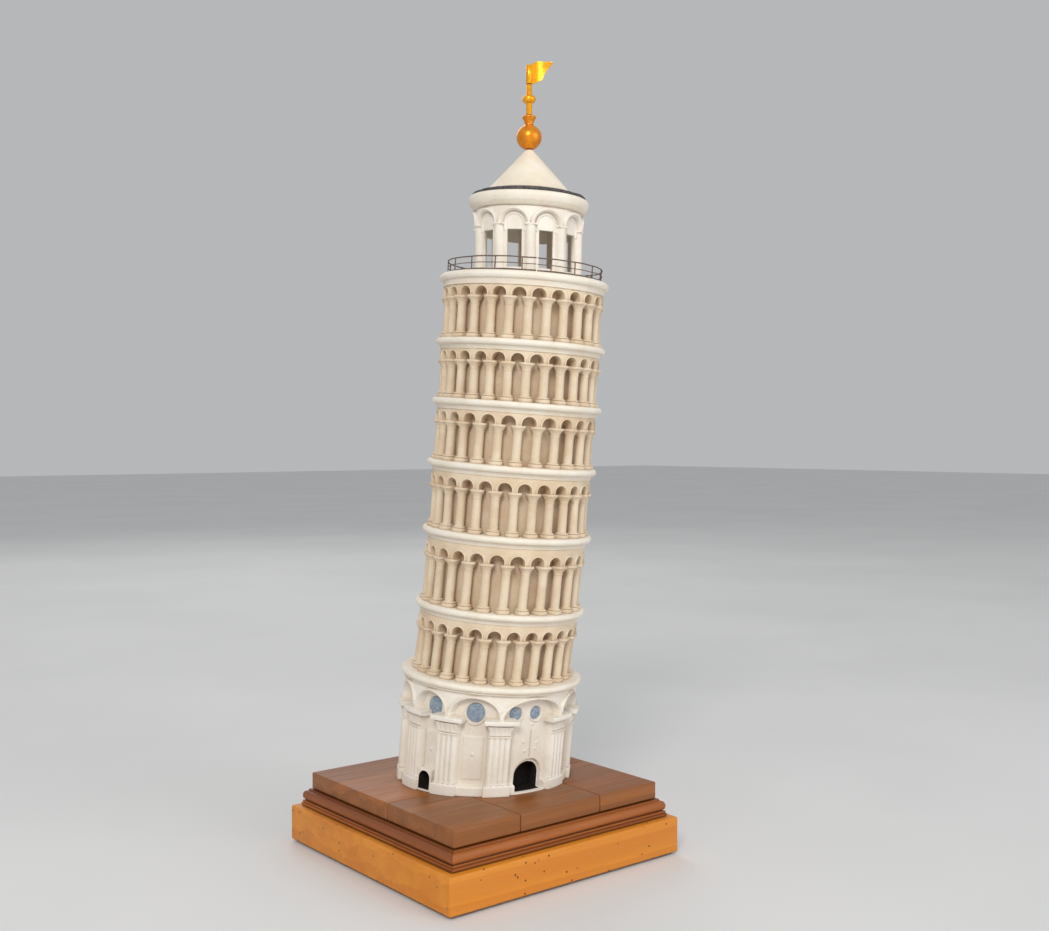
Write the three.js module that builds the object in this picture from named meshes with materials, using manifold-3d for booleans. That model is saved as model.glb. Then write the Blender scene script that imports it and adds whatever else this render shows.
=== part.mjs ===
// A leaning round tower on a stepped wooden base, with a flag vane that turns on its finial.
// Millimetres, +Z up, origin at the middle of the felt underside. The front is -Y.
// Polar angles are in degrees, anticlockwise from +X, seen from above.
import * as THREE from 'three';
import { mergeVertices } from 'three/addons/utils/BufferGeometryUtils.js';
import Module from 'manifold-3d';

const wasm = await Module();
wasm.setup();

// ---- Driving dimensions ----
const GAP = 0.3; // air between neighbouring pieces
const BITE = 0.3; // how far parts of one piece run into each other before they are joined
const WELD = 1e-4; // points closer than this are one point
const FLATNESS = 0.02; // how far a face may move when needless points are dropped

const FELT = { side: 112, thick: 0.7 };
const PLINTH = { side: 120, height: 15, round: 0.9 };
const MOULDING = { side: 113.4, width: 19, height: 7.3, step: 1.1, groove: 1.3, bulge: 4.2, sweep: 0.7 };
const TOP = { side: 106.5, height: 7.4, round: 0.9, buttX: 21, seamY: -7.5 };

// The tower is drawn upright on its own axis and then bent: at each height above its foot, how far
// the axis has moved towards the lean, and how many degrees a level is tilted.
const TOWER = { footX: 4.2, footY: 4.26, leanTo: -55, reach: 60 };
const TOWER_BEND = [
  [0, 0, 0], [44.95, 3.71, 4.5], [74.4, 7.61, 4.65], [106, 10.95, 4.4], [134.8, 13.1, 4.5],
  [161.1, 15.4, 4.2], [186.4, 17, 4], [213.65, 18.7, 3.7], [225, 19.4, 3.7],
];
const BELFRY_BEND = [[0, 20.2, 3.7], [33.45, 20.7, 2.8], [57, 20.9, 0]]; // from the belfry's own foot
const STOREY_HEIGHTS = [44.95, 29.45, 31.6, 28.8, 26.3, 25.3, 27.25]; // cornice to cornice

const CORNICE = { radius: 36.7, roll: 2.7, cove: 2, frieze: 34.4, ease: 0.9 };
const GROUND_CORNICE = { radius: 39.2, roll: 2.7, cove: 0.8, frieze: 38, ease: 0.9 };
const TERRACE = { radius: 36.4, roll: 3.4, cove: 2.4, frieze: 34.6, ease: 0.9 };
const CORNICE_SIDES = 27;

const GALLERY = { core: 29, face: 34, columnCircle: 32.1, columnShare: 0.635 };
const COLUMN_COUNTS = [27, 25, 26, 25, 27, 26]; // gallery 2 upwards
const COLUMN_PHASES = [-123.2, -126.5, -125.3, -126.3, -123.4, -124.7];
const COLUMN = { foot: 1.95, neck: 1.8, base: 2.9, baseTall: 2.4, capital: 3, capitalTall: 3.2, sides: 5 };
const ARCH = { share: 0.7, rise: 3.7, shoulder: 0.86, shoulderRise: 0.62 };

const GROUND = { sides: 24, wall: 36.4, recess: 33.8, back: 31 };
const PILASTERS = [-119.4, -73.3, -41.7, -10.1, 21.5, 53.1, 84.7, 116.3, 147.7, 175.7, 205.2];
const PILASTER = { width: 9.2, reach: 37.4, reeds: 4, shaftFoot: 4.5, shaftTop: 25.5 };
const PEDESTAL = { width: 11.5, reach: 37.9, top: 4.7 };
const BASE_COURSE = { reach: 34.8, top: 3.9 };
const CAPITAL = { bellWidth: 10.6, abacusWidth: 14.2, reach: 39.3, bellReach: 38.2, bellTop: 30, top: 32.6 };
const BLIND_ARCH = { rise: 9.4, rib: 1.2, ribReach: 37.4, panelInset: 6.2 };
const MAIN_DOOR = { polar: -95.3, width: 11.6, height: 12.2, reveal: 1.3, revealDeep: 1.3 };
const SIDE_DOOR = { polar: -171.2, width: 6.6, height: 7.5, reveal: 0, revealDeep: 0 };
const DOOR = { sill: 0.8, back: 26 };
const ROUNDEL = { radius: 3.9, thick: 1.0, sunk: 0.5, z: 34.3, sides: 12 };
const DOOR_ROUNDEL = { radius: 2.7, thick: 1.0, sunk: 0.5, z: 34.3, sides: 12, polars: [-108.4, -92.4] };

const RAILING = { radius: 33.2, height: 6, wire: 0.9, sections: 6, postsEach: 3, steps: 5, break: 1 };

const BELFRY = { sides: 20, bays: 10, phase: -90.6, wall: 22.7, inner: 20, height: 28.3, sill: 2.8 };
const WINDOW = { width: 6.3, height: 15.6 };
const PIER = { radius: 2.3, circle: 21.5, top: 21.4 };
const BELFRY_ARCH = { outer: 7.1, rib: 1.6, reach: 24.1, spring: 20.6 };
const BELFRY_CORNICE = { radius: 25.8, roll: 4.4, cove: 1.6, frieze: 24.3, ease: 0.6 };

const ROOF = {
  plateRadius: 24.5, plateThick: 2.2, coneRadius: 18.8, coneTip: 1.9, tipTall: 1.7, coneTall: 19,
};
const FINIAL = {
  shift: 20.9, ball: 5.4, sink: 0.96, neck: 1.9, cup: 3, cupTall: 3.9, bore: 1.6, boreDeep: 8,
};
const VANE = {
  mast: 1.25, pin: 0.65, beadRadius: 2.9, beadTall: 3.6, beadRise: 7, mastRise: 13.2, pinRise: 21.2,
};
const FLAG = { thick: 0.9, bore: 0.95, sleeve: 1.4, polar: -39, wave: 0.7, turns: 1.3, steps: 8 };
// The flag's outline from the side: distance from the mast's axis, height above the cup.
const FLAG_OUTLINE = [
  [0, 13.6], [1.5, 13.6], [5.75, 15.6], [6.9, 18.4], [10.2, 22.5], [3.7, 23.4], [0, 21.7],
];

const ROD = { radius: 2, bore: 3.5, seatBelow: 22.5, seatAbove: 4.9, spare: 1, sides: 8 };
const NUT = {
  radius: 4, thick: 3.2, washerRadius: 6, washerThick: 1, bore: 2.35, pocket: 7.5, pocketSides: 10,
};
const SCREW = { inset: 31, shank: 2, head: 4, headRim: 0.4, headTall: 2.2, length: 26.4, point: 3 };
const [SCREW_SIDES, WASHER_SIDES, NUT_SIDES, PIER_SIDES, ROUND_SIDES] = [6, 12, 6, 6, 14];
const [RIB_SEGMENTS, DOOR_SEGMENTS, BALL_STEPS, BEAD_SHOULDER] = [2, 4, 6, 0.75];

const FINISH = {
  felt: { color: 0x3b4a3a, roughness: 0.95, metalness: 0 },
  honeyWood: { color: 0xc98a45, roughness: 0.5, metalness: 0 },
  stainedWood: { color: 0x8f5327, roughness: 0.5, metalness: 0 },
  brownBoard: { color: 0x7c4526, roughness: 0.55, metalness: 0 },
  panel: { color: 0xb79a72, roughness: 0.8, metalness: 0 },
  plaster: { color: 0xe9e3d6, roughness: 0.7, metalness: 0 },
  buff: { color: 0xd9c3a0, roughness: 0.75, metalness: 0 },
  slate: { color: 0x7e90a0, roughness: 0.5, metalness: 0 },
  lead: { color: 0x4a4a4c, roughness: 0.7, metalness: 0.2 },
  rust: { color: 0x7a4a36, roughness: 0.8, metalness: 0.4 },
  gold: { color: 0xe8a413, roughness: 0.3, metalness: 0.9 },
  steel: { color: 0x9b9c9e, roughness: 0.35, metalness: 0.9 },
};

// ---- Levels and frames ----
const plinthFoot = FELT.thick + GAP;
const mouldingFoot = plinthFoot + PLINTH.height;
const topFoot = mouldingFoot + MOULDING.height;
const towerFoot = topFoot + TOP.height;
const terraceTop = STOREY_HEIGHTS.reduce((sum, height) => sum + height, TERRACE.roll / 2);
const belfryTop = BELFRY.height + BELFRY_CORNICE.cove + BELFRY_CORNICE.roll; // above the terrace
const coneFoot = belfryTop + ROOF.plateThick;
const coneTop = coneFoot + ROOF.coneTall;
const finialFoot = towerFoot + terraceTop + coneTop + GAP;
const ballMiddle = FINIAL.ball * FINIAL.sink; // above the finial's foot
const cupFoot = ballMiddle + FINIAL.ball;
const cupTop = cupFoot + FINIAL.cupTall;

const radians = THREE.MathUtils.degToRad;
const lean = new THREE.Vector2(Math.cos(radians(TOWER.leanTo)), Math.sin(radians(TOWER.leanTo)));

const model = new THREE.Group();

function addGroup(x, y, z) {
  const group = new THREE.Group();
  group.position.set(x, y, z);
  model.add(group);
  return group;
}

const finial = addGroup(
  TOWER.footX + FINIAL.shift * lean.x, TOWER.footY + FINIAL.shift * lean.y, finialFoot,
);

// The axis's shift and tilt at a height, read between the rows of a bend.
function bendAt(bend, height) {
  let row = 1;
  while (row < bend.length - 1 && height > bend[row][0]) row++;
  const [low, high] = [bend[row - 1], bend[row]];
  const share = (height - low[0]) / (high[0] - low[0]);
  const tilt = radians(low[2] + (high[2] - low[2]) * share);
  return { shift: low[1] + (high[1] - low[1]) * share, tilt };
}

// Carries a solid drawn on an upright axis over onto a bent one that starts at a height.
function bent(upright, bend, foot) {
  return upright.warp((point) => {
    const [x, y, height] = point;
    const { shift, tilt } = bendAt(bend, height);
    const along = x * lean.x + y * lean.y;
    const across = y * lean.x - x * lean.y;
    const moved = shift + along * Math.cos(tilt);
    point[0] = TOWER.footX + moved * lean.x - across * lean.y;
    point[1] = TOWER.footY + moved * lean.y + across * lean.x;
    point[2] = foot + height - along * Math.sin(tilt);
  });
}

function bentTower(upright) {
  return bent(upright, TOWER_BEND, towerFoot);
}

function bentBelfry(upright) {
  return bent(upright, BELFRY_BEND, towerFoot + terraceTop);
}

// The tie rod's frame: along the chord of the bent tower, from its foot to the terrace.
const chordTop = bendAt(TOWER_BEND, terraceTop).shift;
const chord = new THREE.Vector3(chordTop * lean.x, chordTop * lean.y, terraceTop);
const rod = addGroup(TOWER.footX, TOWER.footY, towerFoot);
rod.quaternion.setFromUnitVectors(new THREE.Vector3(0, 0, 1), chord.clone().normalize());
model.updateMatrixWorld(true);

// ---- Solids and shapes ----

// Turns a closed three.js geometry into a solid that can be joined and cut.
function solid(geometry) {
  const bare = geometry.clone();
  bare.deleteAttribute('normal');
  bare.deleteAttribute('uv');
  bare.clearGroups();
  const merged = mergeVertices(bare, WELD);
  const corners = merged.index.array;
  const kept = [];
  for (let at = 0; at < corners.length; at += 3) {
    const [a, b, c] = [corners[at], corners[at + 1], corners[at + 2]];
    if (a !== b && b !== c && c !== a) kept.push(a, b, c);
  }
  return new wasm.Manifold(new wasm.Mesh({
    numProp: 3,
    vertProperties: new Float32Array(merged.getAttribute('position').array),
    triVerts: new Uint32Array(kept),
  }));
}

function joined(solids) {
  return wasm.Manifold.union(solids);
}

// Adds a finished solid to a group as a named mesh.
function addPiece(parent, name, body, finish) {
  const mesh = body.asOriginal().simplify(FLATNESS).getMesh();
  const geometry = new THREE.BufferGeometry();
  geometry.setAttribute('position', new THREE.BufferAttribute(new Float32Array(mesh.vertProperties), 3));
  geometry.setIndex(new THREE.BufferAttribute(new Uint32Array(mesh.triVerts), 1));
  geometry.computeVertexNormals();
  const piece = new THREE.Mesh(geometry, new THREE.MeshStandardMaterial(FINISH[finish]));
  piece.name = name;
  parent.add(piece);
}

// A turned form about Z from [radius, height] points. One of its corners is at the polar angle.
function turned(profile, sides, polar = 0) {
  const points = profile.map(([radius, height]) => new THREE.Vector2(radius, height));
  return new THREE.LatheGeometry(points, sides, radians(polar + 90)).rotateX(Math.PI / 2);
}

// A solid bar standing along Z.
function bar(radius, low, high, sides) {
  return turned([[0, low], [radius, low], [radius, high], [0, high]], sides);
}

// A hollow ring about Z, closed on itself.
function ring(inner, outer, low, high, sides, polar = 0) {
  return turned([[inner, low], [outer, low], [outer, high], [inner, high], [inner, low]], sides, polar);
}

function block(width, depth, height, x, y, low) {
  return new THREE.BoxGeometry(width, depth, height).translate(x, y, low + height / 2);
}

// An upright outline, x along the wall and y up, made solid between two distances from the axis.
function radialSlab(shape, near, far, polar, curveSegments) {
  const slab = new THREE.ExtrudeGeometry(shape, { depth: far - near, bevelEnabled: false, curveSegments });
  return slab.translate(0, 0, near).rotateX(Math.PI / 2).rotateZ(radians(polar + 90));
}

function radialBox(width, low, high, near, far, polar) {
  return block(far - near, width, high - low, (near + far) / 2, 0, low).rotateZ(radians(polar));
}

function outline(points) {
  return new THREE.Shape(points.map(([x, y]) => new THREE.Vector2(x, y)));
}

// A doorway outline: upright sides and a round head.
function doorway(width, low, high) {
  const half = width / 2;
  const shape = new THREE.Shape();
  shape.moveTo(-half, low);
  shape.lineTo(half, low);
  shape.lineTo(half, high - half);
  shape.absarc(0, high - half, half, 0, Math.PI, false);
  shape.lineTo(-half, low);
  return shape;
}

// A board with eased edges, between two corners in plan.
function board(x0, y0, x1, y1, low, height, round) {
  const [left, right, near, far] = [x0 + round, x1 - round, y0 + round, y1 - round];
  const shape = outline([[left, near], [right, near], [right, far], [left, far]]);
  const depth = height - 2 * round;
  const bevel = { bevelEnabled: true, bevelThickness: round, bevelSize: round, bevelSegments: 1 };
  return new THREE.ExtrudeGeometry(shape, { depth, ...bevel }).translate(0, 0, low + round);
}

// A solid drawn in the tie rod's frame, moved into the model's.
function alongRod(geometry) {
  return solid(geometry.applyMatrix4(rod.matrixWorld));
}

function rodBore() {
  const reach = chord.length() + 2 * towerFoot;
  return alongRod(bar(ROD.bore, -reach, reach, ROD.sides));
}

// ---- Wooden base ----

function screwPlaces() {
  const s = SCREW.inset;
  return [[-s, -s], [s, -s], [s, s], [-s, s]];
}

function screwForm() {
  const foot = plinthFoot + GAP;
  return turned([
    [0, foot], [SCREW.head, foot], [SCREW.head, foot + SCREW.headRim], [SCREW.shank, foot + SCREW.headTall],
    [SCREW.shank, foot + SCREW.length - SCREW.point], [0, foot + SCREW.length],
  ], SCREW_SIDES);
}

// The hole a screw stands in, opening below the plinth.
function screwHole() {
  const foot = plinthFoot - GAP;
  const [shank, head] = [SCREW.shank + GAP, SCREW.head + GAP];
  const top = plinthFoot + 2 * GAP + SCREW.length;
  return turned([
    [0, foot], [head, foot], [head, plinthFoot + GAP + SCREW.headRim],
    [shank, plinthFoot + GAP + SCREW.headTall], [shank, top - SCREW.point], [GAP, top], [0, top],
  ], SCREW_SIDES);
}

function screwHoles() {
  return joined(screwPlaces().map(([x, y]) => solid(screwHole().translate(x, y, 0))));
}

function buildPlinth() {
  const half = PLINTH.side / 2;
  const body = solid(board(-half, -half, half, half, plinthFoot, PLINTH.height, PLINTH.round));
  const pocket = alongRod(bar(NUT.pocket, -2 * towerFoot, -ROD.seatBelow, NUT.pocketSides));
  addPiece(model, 'plinth_board', body.subtract(joined([screwHoles(), rodBore(), pocket])), 'honeyWood');
}

// One mitred strip of the stepped moulding, its length following its distance from the middle.
function mouldingStrip() {
  const { width, step, groove, bulge, sweep } = MOULDING;
  const outer = MOULDING.side / 2;
  const inner = outer - width;
  const low = mouldingFoot + GAP;
  const face = outer - sweep;
  const shape = outline([
    [inner, low], [outer, low], [outer, low + step], [face, low + step], [face, low + 2 * step],
    [outer - groove, low + 2 * step + BITE], [face, low + 2 * step + 2 * BITE],
    [face, low + 2 * step + bulge - sweep], [outer - groove, topFoot], [inner, topFoot],
  ]);
  const depth = 2;
  const strip = new THREE.ExtrudeGeometry(shape, { depth, bevelEnabled: false });
  const at = strip.getAttribute('position');
  for (let i = 0; i < at.count; i++) {
    const reach = at.getX(i);
    const side = Math.sign(depth / 2 - at.getZ(i));
    at.setXYZ(i, side * (reach - GAP / 2), -reach, at.getY(i));
  }
  return strip;
}

function buildMoulding() {
  const sides = ['front', 'right', 'back', 'left'];
  sides.forEach((side, i) => {
    const strip = solid(mouldingStrip().rotateZ(i * Math.PI / 2));
    addPiece(model, `moulding_${side}`, strip, 'stainedWood');
  });
  const inner = MOULDING.side - 2 * MOULDING.width - 2 * GAP;
  const panel = solid(block(inner, inner, MOULDING.height - GAP, 0, 0, mouldingFoot + GAP));
  addPiece(model, 'infill_panel', panel.subtract(joined([screwHoles(), rodBore()])), 'panel');
}

function buildTopBoards() {
  const half = TOP.side / 2;
  const seam = GAP / 2;
  const { buttX, seamY } = TOP;
  const boards = {
    top_board_back: [-half, seamY + seam, half, half],
    top_board_front_left: [-half, -half, -buttX - seam, seamY - seam],
    top_board_front_middle: [-buttX + seam, -half, buttX - seam, seamY - seam],
    top_board_front_right: [buttX + seam, -half, half, seamY - seam],
  };
  const cut = joined([screwHoles(), rodBore()]);
  for (const [name, corners] of Object.entries(boards)) {
    const body = solid(board(...corners, topFoot + GAP, TOP.height - GAP, TOP.round));
    addPiece(model, name, body.subtract(cut), 'brownBoard');
  }
}

function buildBase() {
  const felt = block(FELT.side, FELT.side, FELT.thick, 0, 0, 0);
  addPiece(model, 'base_felt', solid(felt), 'felt');
  buildPlinth();
  buildMoulding();
  buildTopBoards();
  screwPlaces().forEach(([x, y], i) => {
    addPiece(model, `base_screw_${i + 1}`, solid(screwForm().translate(x, y, 0)), 'steel');
  });
}

// ---- Tie rod ----

function washer(low) {
  return solid(ring(NUT.bore, NUT.washerRadius, low, low + NUT.washerThick, WASHER_SIDES));
}

function nut(low) {
  return solid(ring(NUT.bore, NUT.radius, low, low + NUT.thick, NUT_SIDES));
}

function buildTieRod() {
  const top = chord.length() - ROD.seatAbove;
  const end = 2 * GAP + NUT.washerThick + NUT.thick;
  const stem = bar(ROD.radius, -ROD.seatBelow - end - ROD.spare, top + end, ROD.sides);
  addPiece(rod, 'tie_rod', solid(stem), 'steel');
  const lowWasher = -ROD.seatBelow - GAP - NUT.washerThick;
  const lowNut = lowWasher - GAP - NUT.thick;
  addPiece(rod, 'lower_washer', washer(lowWasher), 'steel');
  addPiece(rod, 'lower_nut', nut(lowNut), 'steel');
  addPiece(rod, 'upper_washer', washer(top + GAP), 'steel');
  addPiece(rod, 'upper_nut', nut(top + 2 * GAP + NUT.washerThick), 'steel');
}

// ---- Cornices ----

// A round slab with a rolled edge and a cove under it, its rolled edge centred on a height.
function corniceForm(size, middle) {
  const { radius, roll, cove, frieze, ease } = size;
  const half = roll / 2;
  return solid(turned([
    [0, middle - half - cove], [frieze, middle - half - cove], [radius - ease, middle - half],
    [radius, middle - half / 2], [radius, middle + half / 2], [radius - ease, middle + half],
    [0, middle + half],
  ], CORNICE_SIDES));
}

function addCornice(name, size, middle) {
  addPiece(model, name, bentTower(corniceForm(size, middle)).subtract(rodBore()), 'plaster');
}

function addTerrace(middle) {
  const seat = chord.length() - ROD.seatAbove;
  const pocket = alongRod(bar(NUT.pocket, seat, chord.length() + 2 * TERRACE.roll, NUT.pocketSides));
  const slab = bentTower(corniceForm(TERRACE, middle));
  addPiece(model, 'terrace_slab', slab.subtract(joined([pocket, rodBore()])), 'plaster');
}

// ---- Galleries ----

function columnForm(low, high) {
  const { foot, neck, base, baseTall, capital, capitalTall, sides } = COLUMN;
  return turned([
    [0, low], [base, low], [foot, low + baseTall],
    [neck, high - capitalTall], [capital, high], [0, high],
  ], sides);
}

// A gallery arch: a four-sided head rising straight from the capitals.
function archOutline(half, low, spring) {
  const shoulder = spring + ARCH.rise * ARCH.shoulderRise;
  return outline([
    [-half, low], [half, low], [half * ARCH.shoulder, shoulder], [0, spring + ARCH.rise],
    [-half * ARCH.shoulder, shoulder],
  ]);
}

// One gallery casting: a solid core, a ring of arches running back to it, and the free columns.
function galleryForm(low, high, capitalTop, count, phase) {
  const { core, face, columnCircle } = GALLERY;
  const step = 360 / count;
  const body = solid(turned([
    [0, low], [core, low], [core, capitalTop], [face, capitalTop], [face, high], [0, high],
  ], count, phase));
  const half = radians(step / 2) * face * ARCH.share;
  const arch = archOutline(half, capitalTop - BITE, capitalTop);
  const columns = [];
  const arches = [];
  for (let i = 0; i < count; i++) {
    const polar = phase + i * step;
    const column = columnForm(low, capitalTop).translate(columnCircle, 0, 0);
    columns.push(solid(column.rotateZ(radians(polar))));
    arches.push(solid(radialSlab(arch, core + BITE, TOWER.reach, polar + step / 2, 1)));
  }
  return body.subtract(joined(arches)).add(joined(columns));
}

function buildGalleries() {
  let foot = STOREY_HEIGHTS[0];
  COLUMN_COUNTS.forEach((count, i) => {
    const number = i + 2;
    const height = STOREY_HEIGHTS[i + 1];
    const lid = i === COLUMN_COUNTS.length - 1 ? TERRACE : CORNICE;
    const low = foot + CORNICE.roll / 2;
    const high = foot + height - lid.roll / 2 - lid.cove;
    const capitalTop = low + GALLERY.columnShare * height;
    const form = galleryForm(low + GAP, high - GAP, capitalTop, count, COLUMN_PHASES[i]);
    addPiece(model, `gallery_${number}_colonnade`, bentTower(form).subtract(rodBore()), 'buff');
    foot += height;
    if (lid === TERRACE) addTerrace(foot);
    else addCornice(`gallery_${number}_cornice`, CORNICE, foot);
  });
}

// ---- Ground storey ----

// The bays between the half-columns: middle polar angle and half width along the wall. The first
// is the entrance bay.
function groundBays() {
  return PILASTERS.map((polar, i) => {
    const next = i + 1 < PILASTERS.length ? PILASTERS[i + 1] : PILASTERS[0] + 360;
    return { polar: (polar + next) / 2, half: radians((next - polar) / 2) * GROUND.wall };
  });
}

// A pilaster shaft: reeds side by side on a flat back, pointing along +X.
function shaftForm() {
  const reed = PILASTER.width / PILASTER.reeds / 2;
  const face = PILASTER.reach - reed;
  const shape = new THREE.Shape();
  shape.moveTo(GROUND.back, -PILASTER.width / 2);
  shape.lineTo(face, -PILASTER.width / 2);
  for (let i = 0; i < PILASTER.reeds; i++) {
    const middle = (2 * i + 1) * reed - PILASTER.width / 2;
    shape.absarc(face, middle, reed, -Math.PI / 2, Math.PI / 2, false);
  }
  shape.lineTo(GROUND.back, PILASTER.width / 2);
  shape.closePath();
  const depth = PILASTER.shaftTop - PILASTER.shaftFoot + 2 * BITE;
  const form = new THREE.ExtrudeGeometry(shape, { depth, bevelEnabled: false, curveSegments: 1 });
  return form.translate(0, 0, PILASTER.shaftFoot - BITE);
}

function pilasterShafts() {
  return joined(PILASTERS.map((polar) => solid(shaftForm().rotateZ(radians(polar)))));
}

// What is left of a ring where blocks of one width stand at the pilasters.
function atPilasters(ringForm, width, low, high) {
  const blocks = PILASTERS.map((polar) => {
    return solid(radialBox(width, low - BITE, high + BITE, GROUND.back - BITE, TOWER.reach, polar));
  });
  return solid(ringForm).intersect(joined(blocks));
}

function pedestals() {
  const form = ring(GROUND.back, PEDESTAL.reach, GAP, PEDESTAL.top, GROUND.sides);
  return atPilasters(form, PEDESTAL.width, GAP, PEDESTAL.top);
}

function capitals() {
  const { bellTop, bellReach, top, reach, bellWidth, abacusWidth } = CAPITAL;
  const foot = PILASTER.shaftTop;
  const bell = turned([
    [GROUND.back, foot], [PILASTER.reach, foot], [bellReach, bellTop], [GROUND.back, bellTop],
    [GROUND.back, foot],
  ], GROUND.sides);
  const abacus = ring(GROUND.back, reach, bellTop - BITE, top, GROUND.sides);
  const wide = atPilasters(abacus, abacusWidth, bellTop - BITE, top);
  return wide.add(atPilasters(bell, bellWidth, foot, bellTop));
}

// The outline of a recessed bay: narrow between the shafts, round above the capitals.
function bayOutline(half) {
  const shaftHalf = half - BLIND_ARCH.panelInset + BLIND_ARCH.rib;
  const archHalf = half - BLIND_ARCH.rib;
  const shape = new THREE.Shape();
  shape.moveTo(-shaftHalf, BASE_COURSE.top - BITE);
  shape.lineTo(shaftHalf, BASE_COURSE.top - BITE);
  shape.lineTo(shaftHalf, CAPITAL.top);
  shape.lineTo(archHalf, CAPITAL.top);
  const rise = BLIND_ARCH.rise - BLIND_ARCH.rib;
  shape.absellipse(0, CAPITAL.top, archHalf, rise, 0, Math.PI, false, 0);
  shape.lineTo(-shaftHalf, CAPITAL.top);
  shape.closePath();
  return shape;
}

// The raised rib round a blind arch, drawn as a half ring.
function ribOutline(outerHalf) {
  const innerHalf = outerHalf - BLIND_ARCH.rib;
  const [spring, foot] = [CAPITAL.top, CAPITAL.top - BITE];
  const shape = new THREE.Shape();
  shape.moveTo(outerHalf, foot);
  shape.absellipse(0, spring, outerHalf, BLIND_ARCH.rise, 0, Math.PI, false, 0);
  shape.lineTo(-outerHalf, foot);
  shape.lineTo(-innerHalf, foot);
  shape.absellipse(0, spring, innerHalf, BLIND_ARCH.rise - BLIND_ARCH.rib, Math.PI, 0, true, 0);
  shape.lineTo(innerHalf, foot);
  shape.closePath();
  return shape;
}

// Cuts the bays out of a thin shell and lays the arch ribs on it.
function archedShell(top) {
  const near = GROUND.recess - BITE;
  const cuts = [];
  const ribs = [];
  for (const { polar, half } of groundBays()) {
    cuts.push(solid(radialSlab(bayOutline(half), near - BITE, TOWER.reach, polar, RIB_SEGMENTS)));
    ribs.push(solid(radialSlab(ribOutline(half), near - BITE, TOWER.reach, polar, RIB_SEGMENTS)));
  }
  const shell = solid(ring(near, GROUND.wall, GAP, top, GROUND.sides)).subtract(joined(cuts));
  const ribRing = solid(ring(near, BLIND_ARCH.ribReach, GAP, top, GROUND.sides));
  return shell.add(ribRing.intersect(joined(ribs)));
}

function doorCut(door) {
  const opening = doorway(door.width, DOOR.sill, DOOR.sill + door.height);
  const cut = solid(radialSlab(opening, DOOR.back, TOWER.reach, door.polar, DOOR_SEGMENTS));
  if (!door.reveal) return cut;
  const wide = doorway(door.width + 2 * door.reveal, DOOR.sill, DOOR.sill + door.height + door.reveal);
  const face = GROUND.recess - door.revealDeep;
  return cut.add(solid(radialSlab(wide, face, TOWER.reach, door.polar, DOOR_SEGMENTS)));
}

// Every roundel as its size and polar angle: a pair over the entrance and one to each other bay.
function roundelPlaces() {
  const pair = DOOR_ROUNDEL.polars.map((polar) => ({ size: DOOR_ROUNDEL, polar }));
  return [...pair, ...groundBays().slice(1).map(({ polar }) => ({ size: ROUNDEL, polar }))];
}

function roundelForm({ size, polar }) {
  const face = GROUND.recess - size.sunk;
  const disc = bar(size.radius, face - size.thick, face, size.sides).rotateY(Math.PI / 2);
  return solid(disc.translate(0, 0, size.z).rotateZ(radians(polar)));
}

// The round sinking a roundel stands in, open to the front.
function roundelPocket({ size, polar }) {
  const back = GROUND.recess - size.sunk - size.thick - GAP;
  const disc = bar(size.radius + GAP, back, GROUND.recess + 2 * BITE, size.sides).rotateY(Math.PI / 2);
  return solid(disc.translate(0, 0, size.z).rotateZ(radians(polar)));
}

function buildGroundStorey() {
  const top = STOREY_HEIGHTS[0] - GROUND_CORNICE.roll / 2 - GROUND_CORNICE.cove - GAP;
  const drum = solid(bar(GROUND.recess, GAP, top, GROUND.sides));
  const course = solid(ring(GROUND.back, BASE_COURSE.reach, GAP, BASE_COURSE.top, GROUND.sides));
  const body = joined([drum, course, archedShell(top), pedestals(), pilasterShafts(), capitals()]);
  const cuts = [...roundelPlaces().map(roundelPocket), doorCut(MAIN_DOOR), doorCut(SIDE_DOOR)];
  addPiece(model, 'ground_storey', bentTower(body.subtract(joined(cuts))).subtract(rodBore()), 'plaster');
  roundelPlaces().forEach((place, i) => {
    addPiece(model, `roundel_${i + 1}`, bentTower(roundelForm(place)), 'slate');
  });
  addCornice('ground_cornice', GROUND_CORNICE, STOREY_HEIGHTS[0]);
}

// ---- Terrace railing ----

// The share of the circle that one section fills, in plan.
function sectionWedge(startDeg, sweep) {
  const points = [[0, 0]];
  for (let i = 0; i <= RAILING.steps; i++) {
    const polar = radians(startDeg + i * sweep / RAILING.steps);
    points.push([TOWER.reach * Math.cos(polar), TOWER.reach * Math.sin(polar)]);
  }
  return outline(points);
}

// One bent section: three wires on posts.
function railingSection(startDeg) {
  const { radius, height, wire, postsEach } = RAILING;
  const sweep = 360 / RAILING.sections - RAILING.break;
  const half = wire / 2;
  const foot = terraceTop + GAP;
  const plan = sectionWedge(startDeg, sweep);
  const wedge = new THREE.ExtrudeGeometry(plan, { depth: 2 * height, bevelEnabled: false });
  const share = solid(wedge.translate(0, 0, terraceTop));
  const wires = [foot, foot + (height - wire) / 2, foot + height - wire].map((low) => {
    return solid(ring(radius - half, radius + half, low, low + wire, CORNICE_SIDES)).intersect(share);
  });
  const posts = [];
  for (let i = 0; i < postsEach; i++) {
    const polar = startDeg + (i + 0.5) * sweep / postsEach;
    posts.push(solid(block(wire, wire, height - half, radius, 0, foot + half / 2).rotateZ(radians(polar))));
  }
  return joined([...wires, ...posts]);
}

function buildRailing() {
  for (let i = 0; i < RAILING.sections; i++) {
    const section = railingSection(i * 360 / RAILING.sections);
    addPiece(model, `terrace_railing_${i + 1}`, bentTower(section), 'rust');
  }
}

// ---- Belfry, its heights measured from the terrace ----

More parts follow.
